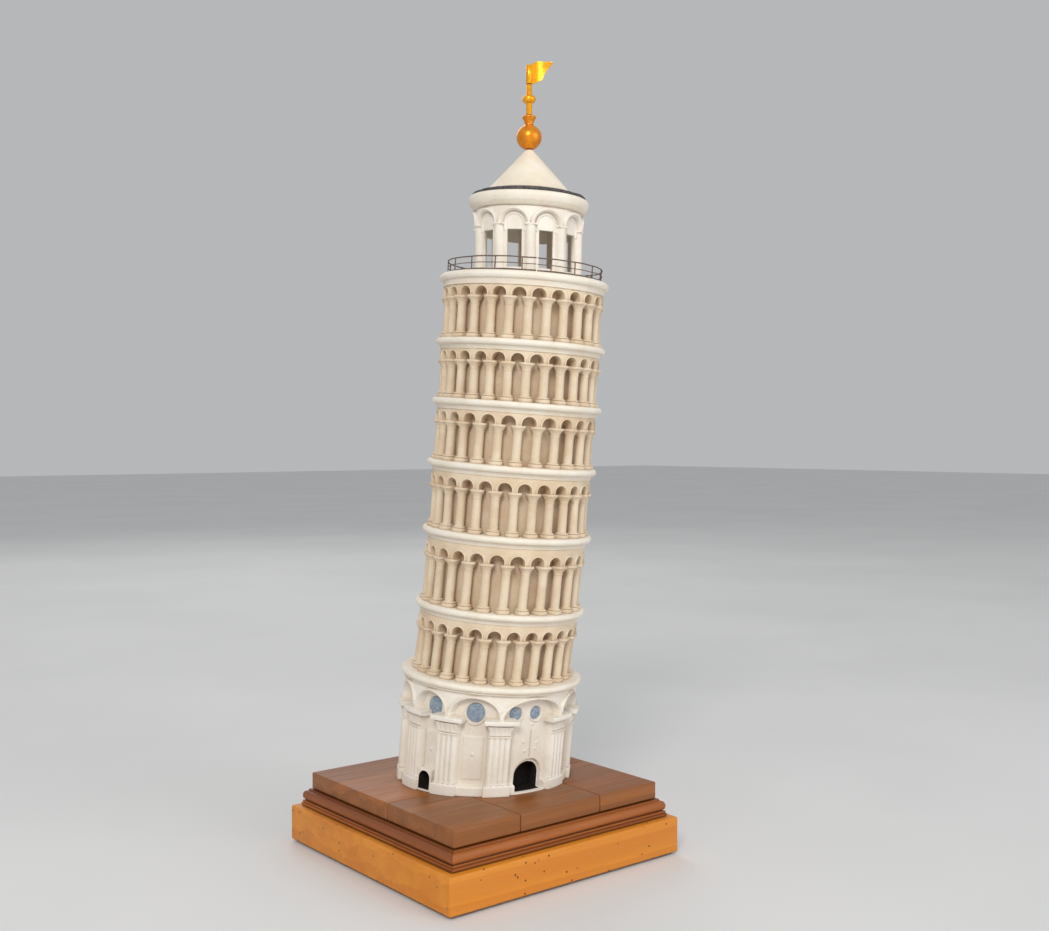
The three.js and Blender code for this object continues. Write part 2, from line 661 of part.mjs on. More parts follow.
function archBand(outer, band, spring) {
  const foot = spring - BITE;
  const shape = new THREE.Shape();
  shape.moveTo(outer, foot);
  shape.absarc(0, spring, outer, 0, Math.PI, false);
  shape.lineTo(-outer, foot);
  shape.lineTo(-outer + band, foot);
  shape.absarc(0, spring, outer - band, Math.PI, 0, true);
  shape.lineTo(outer - band, foot);
  shape.closePath();
  return shape;
}

function windowOutline() {
  const half = WINDOW.width / 2;
  const [low, high] = [BELFRY.sill, BELFRY.sill + WINDOW.height];
  return outline([[-half, low], [half, low], [half, high], [-half, high]]);
}

function belfryForm() {
  const { bays, phase, inner, wall, sides } = BELFRY;
  const step = 360 / bays;
  const top = BELFRY.height - GAP;
  const band = archBand(BELFRY_ARCH.outer, BELFRY_ARCH.rib, BELFRY_ARCH.spring);
  const ribs = [];
  const piers = [];
  const windows = [];
  for (let i = 0; i < bays; i++) {
    const polar = phase + i * step;
    const pier = bar(PIER.radius, GAP, PIER.top, PIER_SIDES).translate(PIER.circle, 0, 0);
    piers.push(solid(pier.rotateZ(radians(polar))));
    ribs.push(solid(radialSlab(band, PIER.radius, TOWER.reach, polar + step / 2, 2)));
    windows.push(solid(radialSlab(windowOutline(), PIER.radius, TOWER.reach, polar + step / 2, 1)));
  }
  const ribRing = solid(ring(inner + BITE, BELFRY_ARCH.reach, GAP, top, sides, phase));
  const drum = solid(ring(inner, wall, GAP, top, sides, phase));
  return joined([drum, ribRing.intersect(joined(ribs)), ...piers]).subtract(joined(windows));
}

function buildBelfry() {
  addPiece(model, 'belfry_wall', bentBelfry(belfryForm()), 'plaster');
  const cap = corniceForm(BELFRY_CORNICE, belfryTop - BELFRY_CORNICE.roll / 2);
  addPiece(model, 'belfry_cornice', bentBelfry(cap), 'plaster');
}

// ---- Roof and finial ----

function buildRoof() {
  const plate = bar(ROOF.plateRadius, belfryTop + GAP, coneFoot, CORNICE_SIDES);
  addPiece(model, 'roof_plate', bentBelfry(solid(plate)), 'lead');
  const shoulder = coneTop - ROOF.tipTall;
  const cone = turned([
    [0, coneFoot + GAP], [ROOF.coneRadius, coneFoot + GAP], [ROOF.coneTip + ROOF.tipTall, shoulder],
    [ROOF.coneTip, coneTop], [0, coneTop],
  ], CORNICE_SIDES);
  addPiece(model, 'roof_cone', bentBelfry(solid(cone)), 'plaster');
}

// Ball and cup, turned in one, with the vane's socket bored down from the cup.
function buildFinialSocket() {
  const { ball, neck, cup, bore, boreDeep } = FINIAL;
  const points = [[0, 0]];
  const lowest = Math.acos(FINIAL.sink);
  const highest = Math.PI - Math.asin(neck / ball);
  for (let i = 0; i <= BALL_STEPS; i++) {
    const angle = lowest + (highest - lowest) * i / BALL_STEPS;
    points.push([ball * Math.sin(angle), ballMiddle - ball * Math.cos(angle)]);
  }
  const lip = (cup - neck) / 2;
  points.push([neck, cupFoot + BITE], [cup - BITE, cupTop - 2 * lip]);
  points.push([cup, cupTop - lip], [cup - BITE, cupTop], [0, cupTop]);
  const hole = bar(bore, cupTop - boreDeep, cupTop + GAP, ROUND_SIDES);
  addPiece(finial, 'finial_socket', solid(turned(points, ROUND_SIDES)).subtract(solid(hole)), 'gold');
}

// The turned mast with its bead and the thin pin above it that carries the flag. Its foot stands
// free in the socket.
function buildMast() {
  const foot = cupTop - FINIAL.boreDeep + GAP;
  const { mast, pin, beadRadius, beadRise, beadTall, mastRise, pinRise } = VANE;
  const bead = cupTop + beadRise;
  const [half, waist] = [beadTall / 2, (mast + beadRadius * 3) / 4];
  const stem = turned([
    [0, foot], [mast, foot], [mast, bead - half], [waist, bead - half * BEAD_SHOULDER], [beadRadius, bead],
    [waist, bead + half * BEAD_SHOULDER], [mast, bead + half], [mast, cupTop + mastRise],
    [pin, cupTop + mastRise], [pin, cupTop + pinRise], [0, cupTop + pinRise],
  ], ROUND_SIDES);
  addPiece(finial, 'vane_mast', solid(stem), 'gold');
}

// The waving cloth in plan: an even thickness either side of a bend, starting on the mast's axis.
function flagPlan(length) {
  const { thick, wave, turns, steps } = FLAG;
  const near = [];
  const far = [];
  for (let i = 0; i <= steps; i++) {
    const share = i / steps;
    const bend = wave * Math.sin(share * Math.PI * turns);
    near.push([length * share, bend - thick / 2]);
    far.unshift([length * share, bend + thick / 2]);
  }
  return outline([...near, ...far]);
}

function buildFlag() {
  const { bore, sleeve } = FLAG;
  const length = Math.max(...FLAG_OUTLINE.map(([x]) => x));
  const heights = FLAG_OUTLINE.map(([, z]) => cupTop + z);
  const [low, high] = [Math.min(...heights), Math.max(...heights)];
  const top = heights.at(-1);
  const plan = new THREE.ExtrudeGeometry(flagPlan(length), { depth: high - low, bevelEnabled: false });
  const side = outline(FLAG_OUTLINE.map(([x, z]) => [x, cupTop + z]));
  const slab = new THREE.ExtrudeGeometry(side, { depth: 2 * length, bevelEnabled: false });
  const seen = solid(slab.translate(0, 0, -length).rotateX(Math.PI / 2));
  const cloth = solid(plan.translate(0, 0, low)).intersect(seen);
  const tube = solid(bar(sleeve, low, top, ROUND_SIDES));
  const hole = solid(bar(bore, low - GAP, high + GAP, ROUND_SIDES));
  const flag = tube.add(cloth).subtract(hole).rotate([0, 0, FLAG.polar]);
  addPiece(finial, 'vane_flag', flag, 'gold');
}

buildBase();
buildTieRod();
buildGroundStorey();
buildGalleries();
buildRailing();
buildBelfry();
buildRoof();
buildFinialSocket();
buildMast();
buildFlag();

export default model;
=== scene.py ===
import math

import bpy
import bmesh
import numpy as np
from mathutils import Matrix, Vector


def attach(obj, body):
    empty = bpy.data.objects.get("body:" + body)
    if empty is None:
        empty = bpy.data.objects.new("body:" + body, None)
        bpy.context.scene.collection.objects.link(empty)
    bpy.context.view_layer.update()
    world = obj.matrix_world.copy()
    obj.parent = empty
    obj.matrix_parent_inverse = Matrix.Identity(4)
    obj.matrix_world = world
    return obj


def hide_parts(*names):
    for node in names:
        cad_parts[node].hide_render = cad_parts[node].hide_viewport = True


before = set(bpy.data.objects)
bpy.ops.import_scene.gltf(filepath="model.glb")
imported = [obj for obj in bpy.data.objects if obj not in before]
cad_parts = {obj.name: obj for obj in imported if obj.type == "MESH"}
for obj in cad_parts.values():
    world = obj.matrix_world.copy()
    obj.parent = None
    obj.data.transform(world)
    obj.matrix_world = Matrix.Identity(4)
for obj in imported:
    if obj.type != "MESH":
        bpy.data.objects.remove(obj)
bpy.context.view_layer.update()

MM = 0.001
SEED = 7
CAMERA = dict(place=(-325.9, -431.1, 176.6), heading=-39.07, pitch=1.13, lens=42.9, sensor=36)
FLOOR_REACH = 6.0  # metres

# ---- Driving dimensions, the same as the CAD model's ----
GAP = 0.3
FOOT_LEVEL = 30.7
TOWER_AT = (4.2, 4.26)
LEAN_TO = -55

# Rows of height, shift of the axis towards the lean, and tilt of a level in degrees.
TOWER_BEND = (
    (0, 0, 0), (44.95, 3.71, 4.5), (74.4, 7.61, 4.65), (106, 10.95, 4.4), (134.8, 13.1, 4.5),
    (161.1, 15.4, 4.2), (186.4, 17, 4), (213.65, 18.7, 3.7), (225, 19.4, 3.7),
)
BELFRY_BEND = ((0, 20.2, 3.7), (33.45, 20.7, 2.8), (57, 20.9, 0))
FINIAL_SHIFT = 20.9
LEVELS = (44.95, 74.4, 106.0, 134.8, 161.1, 186.4, 213.65)

PLINTH = dict(side=120, low=1.0, high=16.0)
MOULDING = dict(side=113.4, width=19, low=16.0, high=23.3)
TOP = dict(side=106.5, low=23.3, high=30.7, butt_x=21, seam_y=-7.5)

CORNICE = dict(radius=36.7, roll=2.7, cove=2.0, frieze=34.4)
GROUND_CORNICE = dict(radius=39.2, roll=2.7, cove=0.8, frieze=38.0)
TERRACE = dict(radius=36.4, roll=3.4, cove=2.4, frieze=34.6)

COLUMN_COUNTS = (27, 25, 26, 25, 27, 26)
COLUMN_PHASES = (-123.2, -126.5, -125.3, -126.3, -123.4, -124.7)
RING_SEGMENTS = 168
CORE = 29.0
FACE = 34.0
COLUMN_CIRCLE = 32.1
COLUMN_SHARE = 0.635
ARCH_SHARE = 0.7
ARCH_STILT = 0.8
# Painted shade for each loop of an arched bay, darkest at its back edge against the core.
ARCH_PAINTED_SHADE = (0.55, 0.22, 0.0, 0.0, 0.0, 0.12, 0.1, 0.1)

GROUND_GRID = (640, 140)  # points round the wall, and rows up it
GROUND_WALL = 36.4
GROUND_RECESS = 33.8
PILASTERS = (-119.4, -73.3, -41.7, -10.1, 21.5, 53.1, 84.7, 116.3, 147.7, 175.7, 205.2)
PILASTER = dict(width=9.2, reach=37.4, reeds=4, foot=4.5, top=25.5)
PEDESTAL = dict(width=11.5, reach=37.9, top=4.7)
COURSE = dict(reach=34.8, top=3.9)
CAPITAL = dict(bell=30.0, top=32.6, reach=39.3, width=14.2)
BLIND = dict(rise=9.4, rib=1.2, reach=37.4, inset=5.0)
MAIN_DOOR = dict(polar=-95.3, width=11.6, height=12.2, sill=0.8)
REVEAL = dict(width=14.2, top=14.3, reach=32.5)
SIDE_DOOR = dict(polar=-170.4, width=6.4, height=7.5, sill=0.8)
SURROUND = dict(width=8.4, top=9.2, reach=36.8)
DOOR_BACK = 26.0
DOOR_STUDS = ((-3.6, 22.0), (3.4, 21.0), (3.0, 18.5), (-2.8, 18.0), (0.4, 29.5))  # (along the wall, height)
DOOR_SEAM = dict(low=15.0, high=27.0)
BAY_PANEL = dict(half_width=4.6, middle=15.5, half_height=9, proud=0.4, stud=17)
ROUNDEL = dict(radius=3.9, thick=1.0, sunk=0.5, z=34.3)
DOOR_ROUNDEL = dict(radius=2.7, thick=1.0, sunk=0.5, z=34.3)
DOOR_ROUNDEL_POLARS = (-108.4, -92.4)

RAIL = dict(radius=33.2, height=6.0, wire=0.9, sections=6, posts=3)

BELFRY_GRID = (480, 100)  # points round the wall, and rows up it
BELFRY_BAYS = 10
BELFRY_PHASE = -90.6
BELFRY_WALL = 22.7
BELFRY_INNER = 20.0
BELFRY_HEIGHT = 28.3
BELFRY_CORNICE = dict(radius=25.8, roll=4.4, cove=1.6, frieze=24.3)
WINDOW = dict(width=6.3, height=15.6, sill=2.8)
BELFRY_ARCH = dict(outer=7.1, rib=1.6, reach=24.1, spring=20.6)
PIER = dict(radius=2.3, circle=21.5, top=21.4)

ROOF = dict(plate=24.5, thick=2.2, cone=18.8, tip=1.9, tall=19.0)
FINIAL = dict(ball=5.4, sink=0.96, neck=1.9, cup=3.0, cup_tall=3.9, bore=1.6, deep=8.0)
VANE = dict(mast=1.25, pin=0.65, bead=2.9, bead_tall=3.6, bead_rise=7.0, rise=13.2, pin_rise=21.2)
FLAG = dict(
    length=10.2, low=13.6, high=21.7, thick=0.9, bore=0.95, sleeve=1.4, polar=-39, wave=0.7, turns=1.3,
)
FLAG_LOWER = ((0, 1.5, 5.75, 6.9, 10.2), (13.6, 13.6, 15.6, 18.4, 22.3))  # distances out, heights
FLAG_UPPER = ((0, 3.7, 10.2), (21.7, 23.4, 22.6))

TERRACE_TOP = LEVELS[-1] + TERRACE["roll"] / 2
BELFRY_TOP = BELFRY_HEIGHT + BELFRY_CORNICE["cove"] + BELFRY_CORNICE["roll"]
CONE_FOOT = BELFRY_TOP + ROOF["thick"]
CONE_TOP = CONE_FOOT + ROOF["tall"]
BALL_MIDDLE = FINIAL["ball"] * FINIAL["sink"]
CUP_FOOT = BALL_MIDDLE + FINIAL["ball"]
CUP_TOP = CUP_FOOT + FINIAL["cup_tall"]


# ---- Placing: each takes points in a piece's own frame and gives them in the model's ----

def lean_direction():
    return math.cos(math.radians(LEAN_TO)), math.sin(math.radians(LEAN_TO))


def bent(points, bend, foot):
    """Carries points drawn on an upright axis over onto the bent one that starts at a height."""
    c, s = lean_direction()
    rows = np.array(bend, float)
    shift = np.interp(points[:, 2], rows[:, 0], rows[:, 1])
    tilt = np.radians(np.interp(points[:, 2], rows[:, 0], rows[:, 2]))
    along = points[:, 0] * c + points[:, 1] * s
    across = points[:, 1] * c - points[:, 0] * s
    moved = shift + along * np.cos(tilt)
    x = TOWER_AT[0] + moved * c - across * s
    y = TOWER_AT[1] + moved * s + across * c
    return np.stack([x, y, foot + points[:, 2] - along * np.sin(tilt)], 1)


def on_base(points):
    return points


def on_tower(points):
    """Heights are above the tower's foot."""
    return bent(points, TOWER_BEND, FOOT_LEVEL)


def on_terrace(points):
    """Heights are above the terrace."""
    return bent(points, BELFRY_BEND, FOOT_LEVEL + TERRACE_TOP)


def on_finial(points):
    """Heights are above the cone's tip."""
    c, s = lean_direction()
    foot = FOOT_LEVEL + TERRACE_TOP + CONE_TOP + GAP
    return points + np.array([TOWER_AT[0] + FINIAL_SHIFT * c, TOWER_AT[1] + FINIAL_SHIFT * s, foot])


def moved(points, matrix):
    """Points turned and moved by a matrix."""
    whole = np.array(matrix)
    return points @ whole[:3, :3].T + whole[:3, 3]


# ---- Camera, lights and floor ----

def make_camera():
    """The photograph's own viewpoint, found from the base's corners and the cornice rings."""
    data = bpy.data.cameras.new("camera")
    data.sensor_width = CAMERA["sensor"]
    data.lens = CAMERA["lens"]
    data.clip_start = 0.01
    data.clip_end = 100
    camera = bpy.data.objects.new("camera", data)
    bpy.context.collection.objects.link(camera)
    camera.location = Vector(CAMERA["place"]) * MM
    pitch = math.radians(CAMERA["pitch"])
    camera.rotation_euler = (math.pi / 2 - pitch, 0, math.radians(CAMERA["heading"]))
    bpy.context.scene.camera = camera


def area_light(name, place, size, power, colour):
    data = bpy.data.lights.new(name, "AREA")
    data.shape = "DISK"
    data.size = size
    data.energy = power
    data.color = colour
    light = bpy.data.objects.new(name, data)
    light.location = place
    aim = Vector((0, 0, 0.16)) - light.location
    light.rotation_euler = aim.to_track_quat("-Z", "Y").to_euler()
    bpy.context.collection.objects.link(light)


def make_lights():
    area_light("key", (-1.0, -0.9, 0.95), 0.5, 12, (1.0, 0.98, 0.95))
    area_light("fill", (0.5, -1.5, 0.6), 1.2, 7.5, (0.98, 0.99, 1.0))
    area_light("back", (0.5, 1.3, 1.1), 0.9, 4, (1.0, 1.0, 1.0))
    world = bpy.data.worlds.new("studio")
    bpy.context.scene.world = world
    world.use_nodes = True
    world.node_tree.nodes["Background"].inputs["Color"].default_value = (0.94, 0.95, 0.97, 1)
    world.node_tree.nodes["Background"].inputs["Strength"].default_value = 0.5
    bpy.context.scene.view_settings.view_transform = "Standard"


# ---- Material building ----

class Shader:
    """A Principled material, built node by node."""

    def __init__(self, name, roughness=0.5, metallic=0.0, specular=0.5):
        self.material = bpy.data.materials.new(name)
        self.material.use_nodes = True
        self.tree = self.material.node_tree
        self.surface = self.tree.nodes["Principled BSDF"]
        self.surface.inputs["Roughness"].default_value = roughness
        self.surface.inputs["Metallic"].default_value = metallic
        self.surface.inputs["Specular IOR Level"].default_value = specular

    def node(self, kind, inputs=None, **settings):
        made = self.tree.nodes.new(kind)
        for key, value in settings.items():
            setattr(made, key, value)
        for key, value in (inputs or {}).items():
            self.feed(made.inputs[key], value)
        return made

    def feed(self, socket, value):
        if isinstance(value, bpy.types.NodeSocket):
            self.tree.links.new(value, socket)
        elif isinstance(value, (tuple, list)) and len(value) == 3 and socket.type == "RGBA":
            socket.default_value = (*value, 1)
        else:
            socket.default_value = value

    def place(self, scale=(1, 1, 1), turn=(0, 0, 0), shift=(0, 0, 0)):
        """Object coordinates in millimetres, scaled."""
        coords = self.node("ShaderNodeTexCoord").outputs["Object"]
        whole = tuple(s / MM for s in scale)
        inputs = {"Vector": coords, "Scale": whole, "Rotation": turn, "Location": shift}
        return self.node("ShaderNodeMapping", inputs).outputs["Vector"]

    def noise(self, vector, scale, detail=4, rough=0.55, distort=0.0):
        inputs = {"Vector": vector, "Scale": scale, "Detail": detail}
        inputs.update({"Roughness": rough, "Distortion": distort})
        return self.node("ShaderNodeTexNoise", inputs).outputs["Fac"]

    def span(self, value, low, high, out_low=0.0, out_high=1.0):
        inputs = {"Value": value, "From Min": low, "From Max": high, "To Min": out_low, "To Max": out_high}
        made = self.node("ShaderNodeMapRange", inputs, clamp=True, interpolation_type="SMOOTHSTEP")
        return made.outputs["Result"]

    def mix(self, factor, a, b, blend="MIX"):
        made = self.node("ShaderNodeMix", data_type="RGBA", blend_type=blend)
        self.feed(made.inputs["Factor"], factor)
        self.feed(made.inputs["A"], a)
        self.feed(made.inputs["B"], b)
        return [out for out in made.outputs if out.type == "RGBA"][0]

    def math(self, operation, a, b=0.0):
        made = self.node("ShaderNodeMath", operation=operation, use_clamp=False)
        self.feed(made.inputs[0], a)
        self.feed(made.inputs[1], b)
        return made.outputs[0]

    def attribute(self, name):
        return self.node("ShaderNodeAttribute", attribute_name=name).outputs["Fac"]

    def crevice(self, distance):
        """One in open places, falling towards nought in corners within a distance."""
        inputs = {"Distance": distance * MM}
        return self.node("ShaderNodeAmbientOcclusion", inputs, samples=6).outputs["AO"]

    def bump(self, height, distance, strength=1.0, over=None):
        inputs = {"Height": height, "Distance": distance * MM, "Strength": strength}
        made = self.node("ShaderNodeBump", inputs)
        if over is not None:
            self.feed(made.inputs["Normal"], over)
        return made.outputs["Normal"]

    def finish(self, colour, roughness, normal):
        self.feed(self.surface.inputs["Base Color"], colour)
        self.feed(self.surface.inputs["Roughness"], roughness)
        self.feed(self.surface.inputs["Normal"], normal)
        return self.material


def casting(name, pale, warm, shade_and_dirt, corner_shade):
    """Cast stone powder: a pale body, warm blotches, a dark tone in the grain and specks, and painted shade
    in corners and in the stated recesses.
    """
    s = Shader(name, specular=0.35)
    place = s.place()
    blotch = s.noise(place, 0.09, 5, 0.6)
    grain = s.noise(place, 1.6, 5, 0.65)
    speck = s.noise(place, 4.5, 2, 0.5)
    body = s.mix(s.span(blotch, 0.36, 0.68), pale, warm)
    body = s.mix(s.span(grain, 0.55, 0.8, 0, 0.25), body, shade_and_dirt)
    # Painted shade: corners found by the crevice node, and recesses marked in the per-point attribute, take
    # the dark tone.
    corner = s.span(s.crevice(1.4), 0.3, 0.9, corner_shade, 0.0)
    recess = s.math("MAXIMUM", corner, s.attribute("shade_and_dirt"))
    uneven = s.math("MULTIPLY", recess, s.span(grain, 0.3, 0.65, 0.6, 1.0))
    colour = s.mix(uneven, body, shade_and_dirt)
    colour = s.mix(s.span(speck, 0.7, 0.78, 0, 0.35), colour, tuple(0.55 * c for c in shade_and_dirt))
    rough = s.span(grain, 0.3, 0.7, 0.55, 0.78)
    broad = s.bump(s.noise(place, 0.35, 3), 0.35, 0.35)
    fine = s.bump(grain, 0.09, 0.7, broad)
    return s.finish(colour, rough, s.bump(speck, 0.03, 0.5, fine))


def wood(name, light, dark, along, shift, gloss=0.42, holes=0.0):
    """Planed and varnished wood, its grain along X or Y, with rings, pores, pin holes and painted shade in
    corners.
    """
    s = Shader(name, specular=0.45)
    stretch = {"X": (0.045, 1, 1), "Y": (1, 0.045, 1)}[along]
    grain_place = s.place(stretch, shift=shift)
    warp = s.noise(grain_place, 0.09, 3, 0.5)
    rings = s.node("ShaderNodeTexWave", {
        "Vector": grain_place, "Scale": 0.045, "Distortion": 9.0, "Detail": 3.0, "Detail Scale": 0.9,
    }, wave_type="BANDS", bands_direction="Z", wave_profile="SAW").outputs["Fac"]
    streak = s.noise(grain_place, 0.75, 6, 0.7)
    fibre = s.noise(s.place(tuple(3 * k for k in stretch), shift=shift), 1.1, 4, 0.7)
    tone = s.math("ADD", s.math("MULTIPLY", rings, 0.2), s.math("MULTIPLY", warp, 0.8))
    body = s.mix(s.span(tone, 0.22, 0.75), light, dark)
    body = s.mix(s.span(streak, 0.48, 0.72, 0, 0.55), body, dark)
    body = s.mix(s.span(fibre, 0.62, 0.75, 0, 0.5), body, tuple(0.45 * c for c in dark))
    # Painted shade: the wood darkens in corners, from the crevice node.
    corner = s.span(s.crevice(2.0), 0.35, 0.9, 0.7, 0.0)
    body = s.mix(corner, body, tuple(0.3 * c for c in dark))
    height = s.math("SUBTRACT", s.span(streak, 0.3, 0.8), s.math("MULTIPLY", fibre, 0.7))
    normal = s.bump(height, 0.09, 0.55)
    if holes:
        cells = s.node("ShaderNodeTexVoronoi", {"Vector": s.place(), "Scale": holes, "Randomness": 1.0})
        pit = s.span(cells.outputs["Distance"], 0.08, 0.12, 1.0, 0.0)
        body = s.mix(s.math("MULTIPLY", pit, 0.9), body, (0.03, 0.012, 0.005))
        normal = s.bump(s.math("MULTIPLY", pit, -1.0), 0.4, 0.8, normal)
    rough = s.span(streak, 0.3, 0.75, gloss - 0.08, gloss + 0.14)
    return s.finish(body, rough, normal)


def gold_finish(name, bright, deep):
    """Gold lacquer, a little uneven, with painted brown shade in the corners."""
    s = Shader(name, metallic=0.55)
    place = s.place()
    cloud = s.noise(place, 0.5, 4)
    fine = s.noise(place, 5.0, 3)
    body = s.mix(s.span(cloud, 0.35, 0.7), bright, deep)
    # Painted shade: browner in corners, from the crevice node.
    body = s.mix(s.span(s.crevice(1.2), 0.4, 0.95, 0.8, 0.0), body, (0.34, 0.12, 0.015))
    rough = s.span(fine, 0.3, 0.7, 0.24, 0.42)
    return s.finish(body, rough, s.bump(fine, 0.03, 0.5, s.bump(cloud, 0.2, 0.3)))


def lead_finish(name):
    """Dull dark sheet, crusted and streaked."""
    s = Shader(name, metallic=0.3)
    place = s.place()
    crust = s.noise(place, 0.8, 7, 0.7)
    body = s.mix(s.span(crust, 0.35, 0.65), (0.035, 0.033, 0.035), (0.13, 0.12, 0.12))
    body = s.mix(s.span(s.noise(place, 0.25, 4), 0.55, 0.7, 0, 0.5), body, (0.2, 0.17, 0.13))
    return s.finish(body, s.span(crust, 0.3, 0.7, 0.55, 0.85), s.bump(crust, 0.3, 0.9))


def rust_finish(name):
    """Thin painted wire worn to a reddish brown."""
    s = Shader(name, metallic=0.2)
    place = s.place()
    patch = s.noise(place, 1.0, 5, 0.65)
    body = s.mix(s.span(patch, 0.35, 0.62), (0.22, 0.15, 0.11), (0.10, 0.075, 0.06))
    body = s.mix(s.span(s.noise(place, 3.0, 3), 0.6, 0.75, 0, 0.6), body, (0.42, 0.3, 0.22))
    return s.finish(body, s.span(patch, 0.3, 0.7, 0.5, 0.8), s.bump(patch, 0.1, 0.8))


def slate_finish(name):
    """Blue-grey polished inlay with pale veins."""
    s = Shader(name, specular=0.6)
    place = s.place()
    vein = s.noise(place, 0.7, 6, 0.6, 1.5)
    body = s.mix(s.span(vein, 0.35, 0.62), (0.15, 0.215, 0.30), (0.30, 0.36, 0.42))
    body = s.mix(s.span(s.noise(place, 2.4, 4), 0.6, 0.72, 0, 0.6), body, (0.06, 0.07, 0.085))
    return s.finish(body, s.span(vein, 0.3, 0.7, 0.25, 0.5), s.bump(vein, 0.08, 0.5))


def plain_finish(name, noise, colours, rough, relief, **shader):
    """Two tones over one noise, which also sets the roughness, from and to, and a fine relief."""
    s = Shader(name, **shader)
    place = s.place((1, 1, noise.get("stretch", 1)))
    mottle = s.noise(place, noise["scale"], noise["detail"], noise.get("rough", 0.55))
    body = s.mix(s.span(mottle, 0.3, 0.7), *colours)
    return s.finish(body, s.span(mottle, 0.3, 0.7, *rough), s.bump(mottle, *relief))


IVORY = casting("ivory_casting", (0.86, 0.81, 0.72), (0.80, 0.73, 0.63), (0.42, 0.29, 0.18), 0.4)
RINGS = casting("ring_casting", (0.87, 0.81, 0.70), (0.82, 0.74, 0.61), (0.46, 0.32, 0.19), 0.4)
CREAM = casting("cream_casting", (0.88, 0.80, 0.66), (0.82, 0.72, 0.56), (0.42, 0.28, 0.15), 0.5)
BUFF = casting("buff_casting", (0.80, 0.68, 0.51), (0.72, 0.57, 0.40), (0.36, 0.20, 0.10), 0.45)
HONEY = wood("honey_wood", (0.74, 0.275, 0.022), (0.62, 0.20, 0.014), "X", (3, 8, 1), 0.45, 0.25)
STAINED_X = wood("stained_wood_x", (0.42, 0.13, 0.022), (0.20, 0.05, 0.009), "X", (40, 3, 9))
STAINED_Y = wood("stained_wood_y", (0.42, 0.13, 0.022), (0.20, 0.05, 0.009), "Y", (5, 60, 2))
GOLD = gold_finish("gold", (1.0, 0.46, 0.006), (0.92, 0.34, 0.004))
DEEP_GOLD = gold_finish("deep_gold", (0.85, 0.30, 0.010), (0.70, 0.21, 0.006))
LEAD = lead_finish("lead_sheet")
RUST = rust_finish("rusty_wire")
SLATE = slate_finish("slate")
FELT = plain_finish("felt", dict(scale=2.5, detail=6, rough=0.75), ((0.02, 0.045, 0.025), (0.06, 0.1, 0.06)),
                    (0.85, 1.0), (0.3, 0.8), specular=0.2)
FELT.node_tree.nodes["Principled BSDF"].inputs["Sheen Weight"].default_value = 0.5
STEEL = plain_finish("steel", dict(scale=2.0, detail=4, stretch=0.2), ((0.5, 0.5, 0.51), (0.62, 0.62, 0.6)),
                     (0.28, 0.45), (0.03, 0.4), metallic=0.9)
PANEL = plain_finish("panel_wood", dict(scale=0.9, detail=6, rough=0.7),
                     ((0.42, 0.30, 0.18), (0.55, 0.42, 0.27)), (0.75, 0.95), (0.15, 0.6), specular=0.2)
SHADOW = plain_finish("door_shadow", dict(scale=1.2, detail=4), ((0.006, 0.004, 0.004), (0.02, 0.014, 0.011)),
                      (0.8, 0.95), (0.1, 0.5), specular=0.2)


# ---- Meshes ----

def grid_faces(rows, columns, wrap=True):
    """Quads over rows of points, the rows joined round when wrap is true."""
    faces = []
    across = columns if wrap else columns - 1
    for row in range(rows - 1):
        for column in range(across):
            beside = (column + 1) % columns
            low, high = row * columns, (row + 1) * columns
            faces.append((low + column, low + beside, high + beside, high + column))
    return faces


def squared(angle, amount):
    """How much further a half-squared outline reaches than a circle, by angle."""
    power = 5
    reach = (np.abs(np.cos(angle)) ** power + np.abs(np.sin(angle)) ** power) ** (-1 / power)
    return 1 + amount * (reach - 1)


def cap_fans(last, segments, low, high):
    """Triangles that close the first ring and the ring at last with the points low and high."""
    faces = []
    for index in range(segments):
        beside = (index + 1) % segments
        faces.append((low, beside, index))
        faces.append((high, last + index, last + beside))
    return faces


def closing_faces(last, segments):
    """Quads from the ring at last back to the first ring."""
    return [(last + i, last + (i + 1) % segments, (i + 1) % segments, i) for i in range(segments)]


def revolve(profile, segments, phase=0.0, square=None):
    """Points and faces of a closed form turned about Z, from (radius, height) pairs that start
    and end on the axis. square holds how square each ring between is, from 0 to 1."""
    angle = np.linspace(0, 2 * np.pi, segments, endpoint=False)
    turn = angle + math.radians(phase)
    rings = []
    middle = profile[1:-1]
    for index, (radius, height) in enumerate(middle):
        reach = radius * squared(angle, square[index] if square else 0)
        rings.append(np.stack([reach * np.cos(turn), reach * np.sin(turn), np.full(segments, height)], 1))
    ends = np.array([[0, 0, profile[0][1]], [0, 0, profile[-1][1]]], float)
    points = np.concatenate(rings + [ends])
    faces = grid_faces(len(middle), segments)
    faces += cap_fans((len(middle) - 1) * segments, segments, len(points) - 2, len(points) - 1)
    return points, faces


def arc_points(middle, radius, start, end, count):
    """(radius, height) points round part of a circle, from one angle to another."""
    angles = np.radians(np.linspace(start, end, count))
    return [(middle[0] + radius * math.cos(a), middle[1] + radius * math.sin(a)) for a in angles]


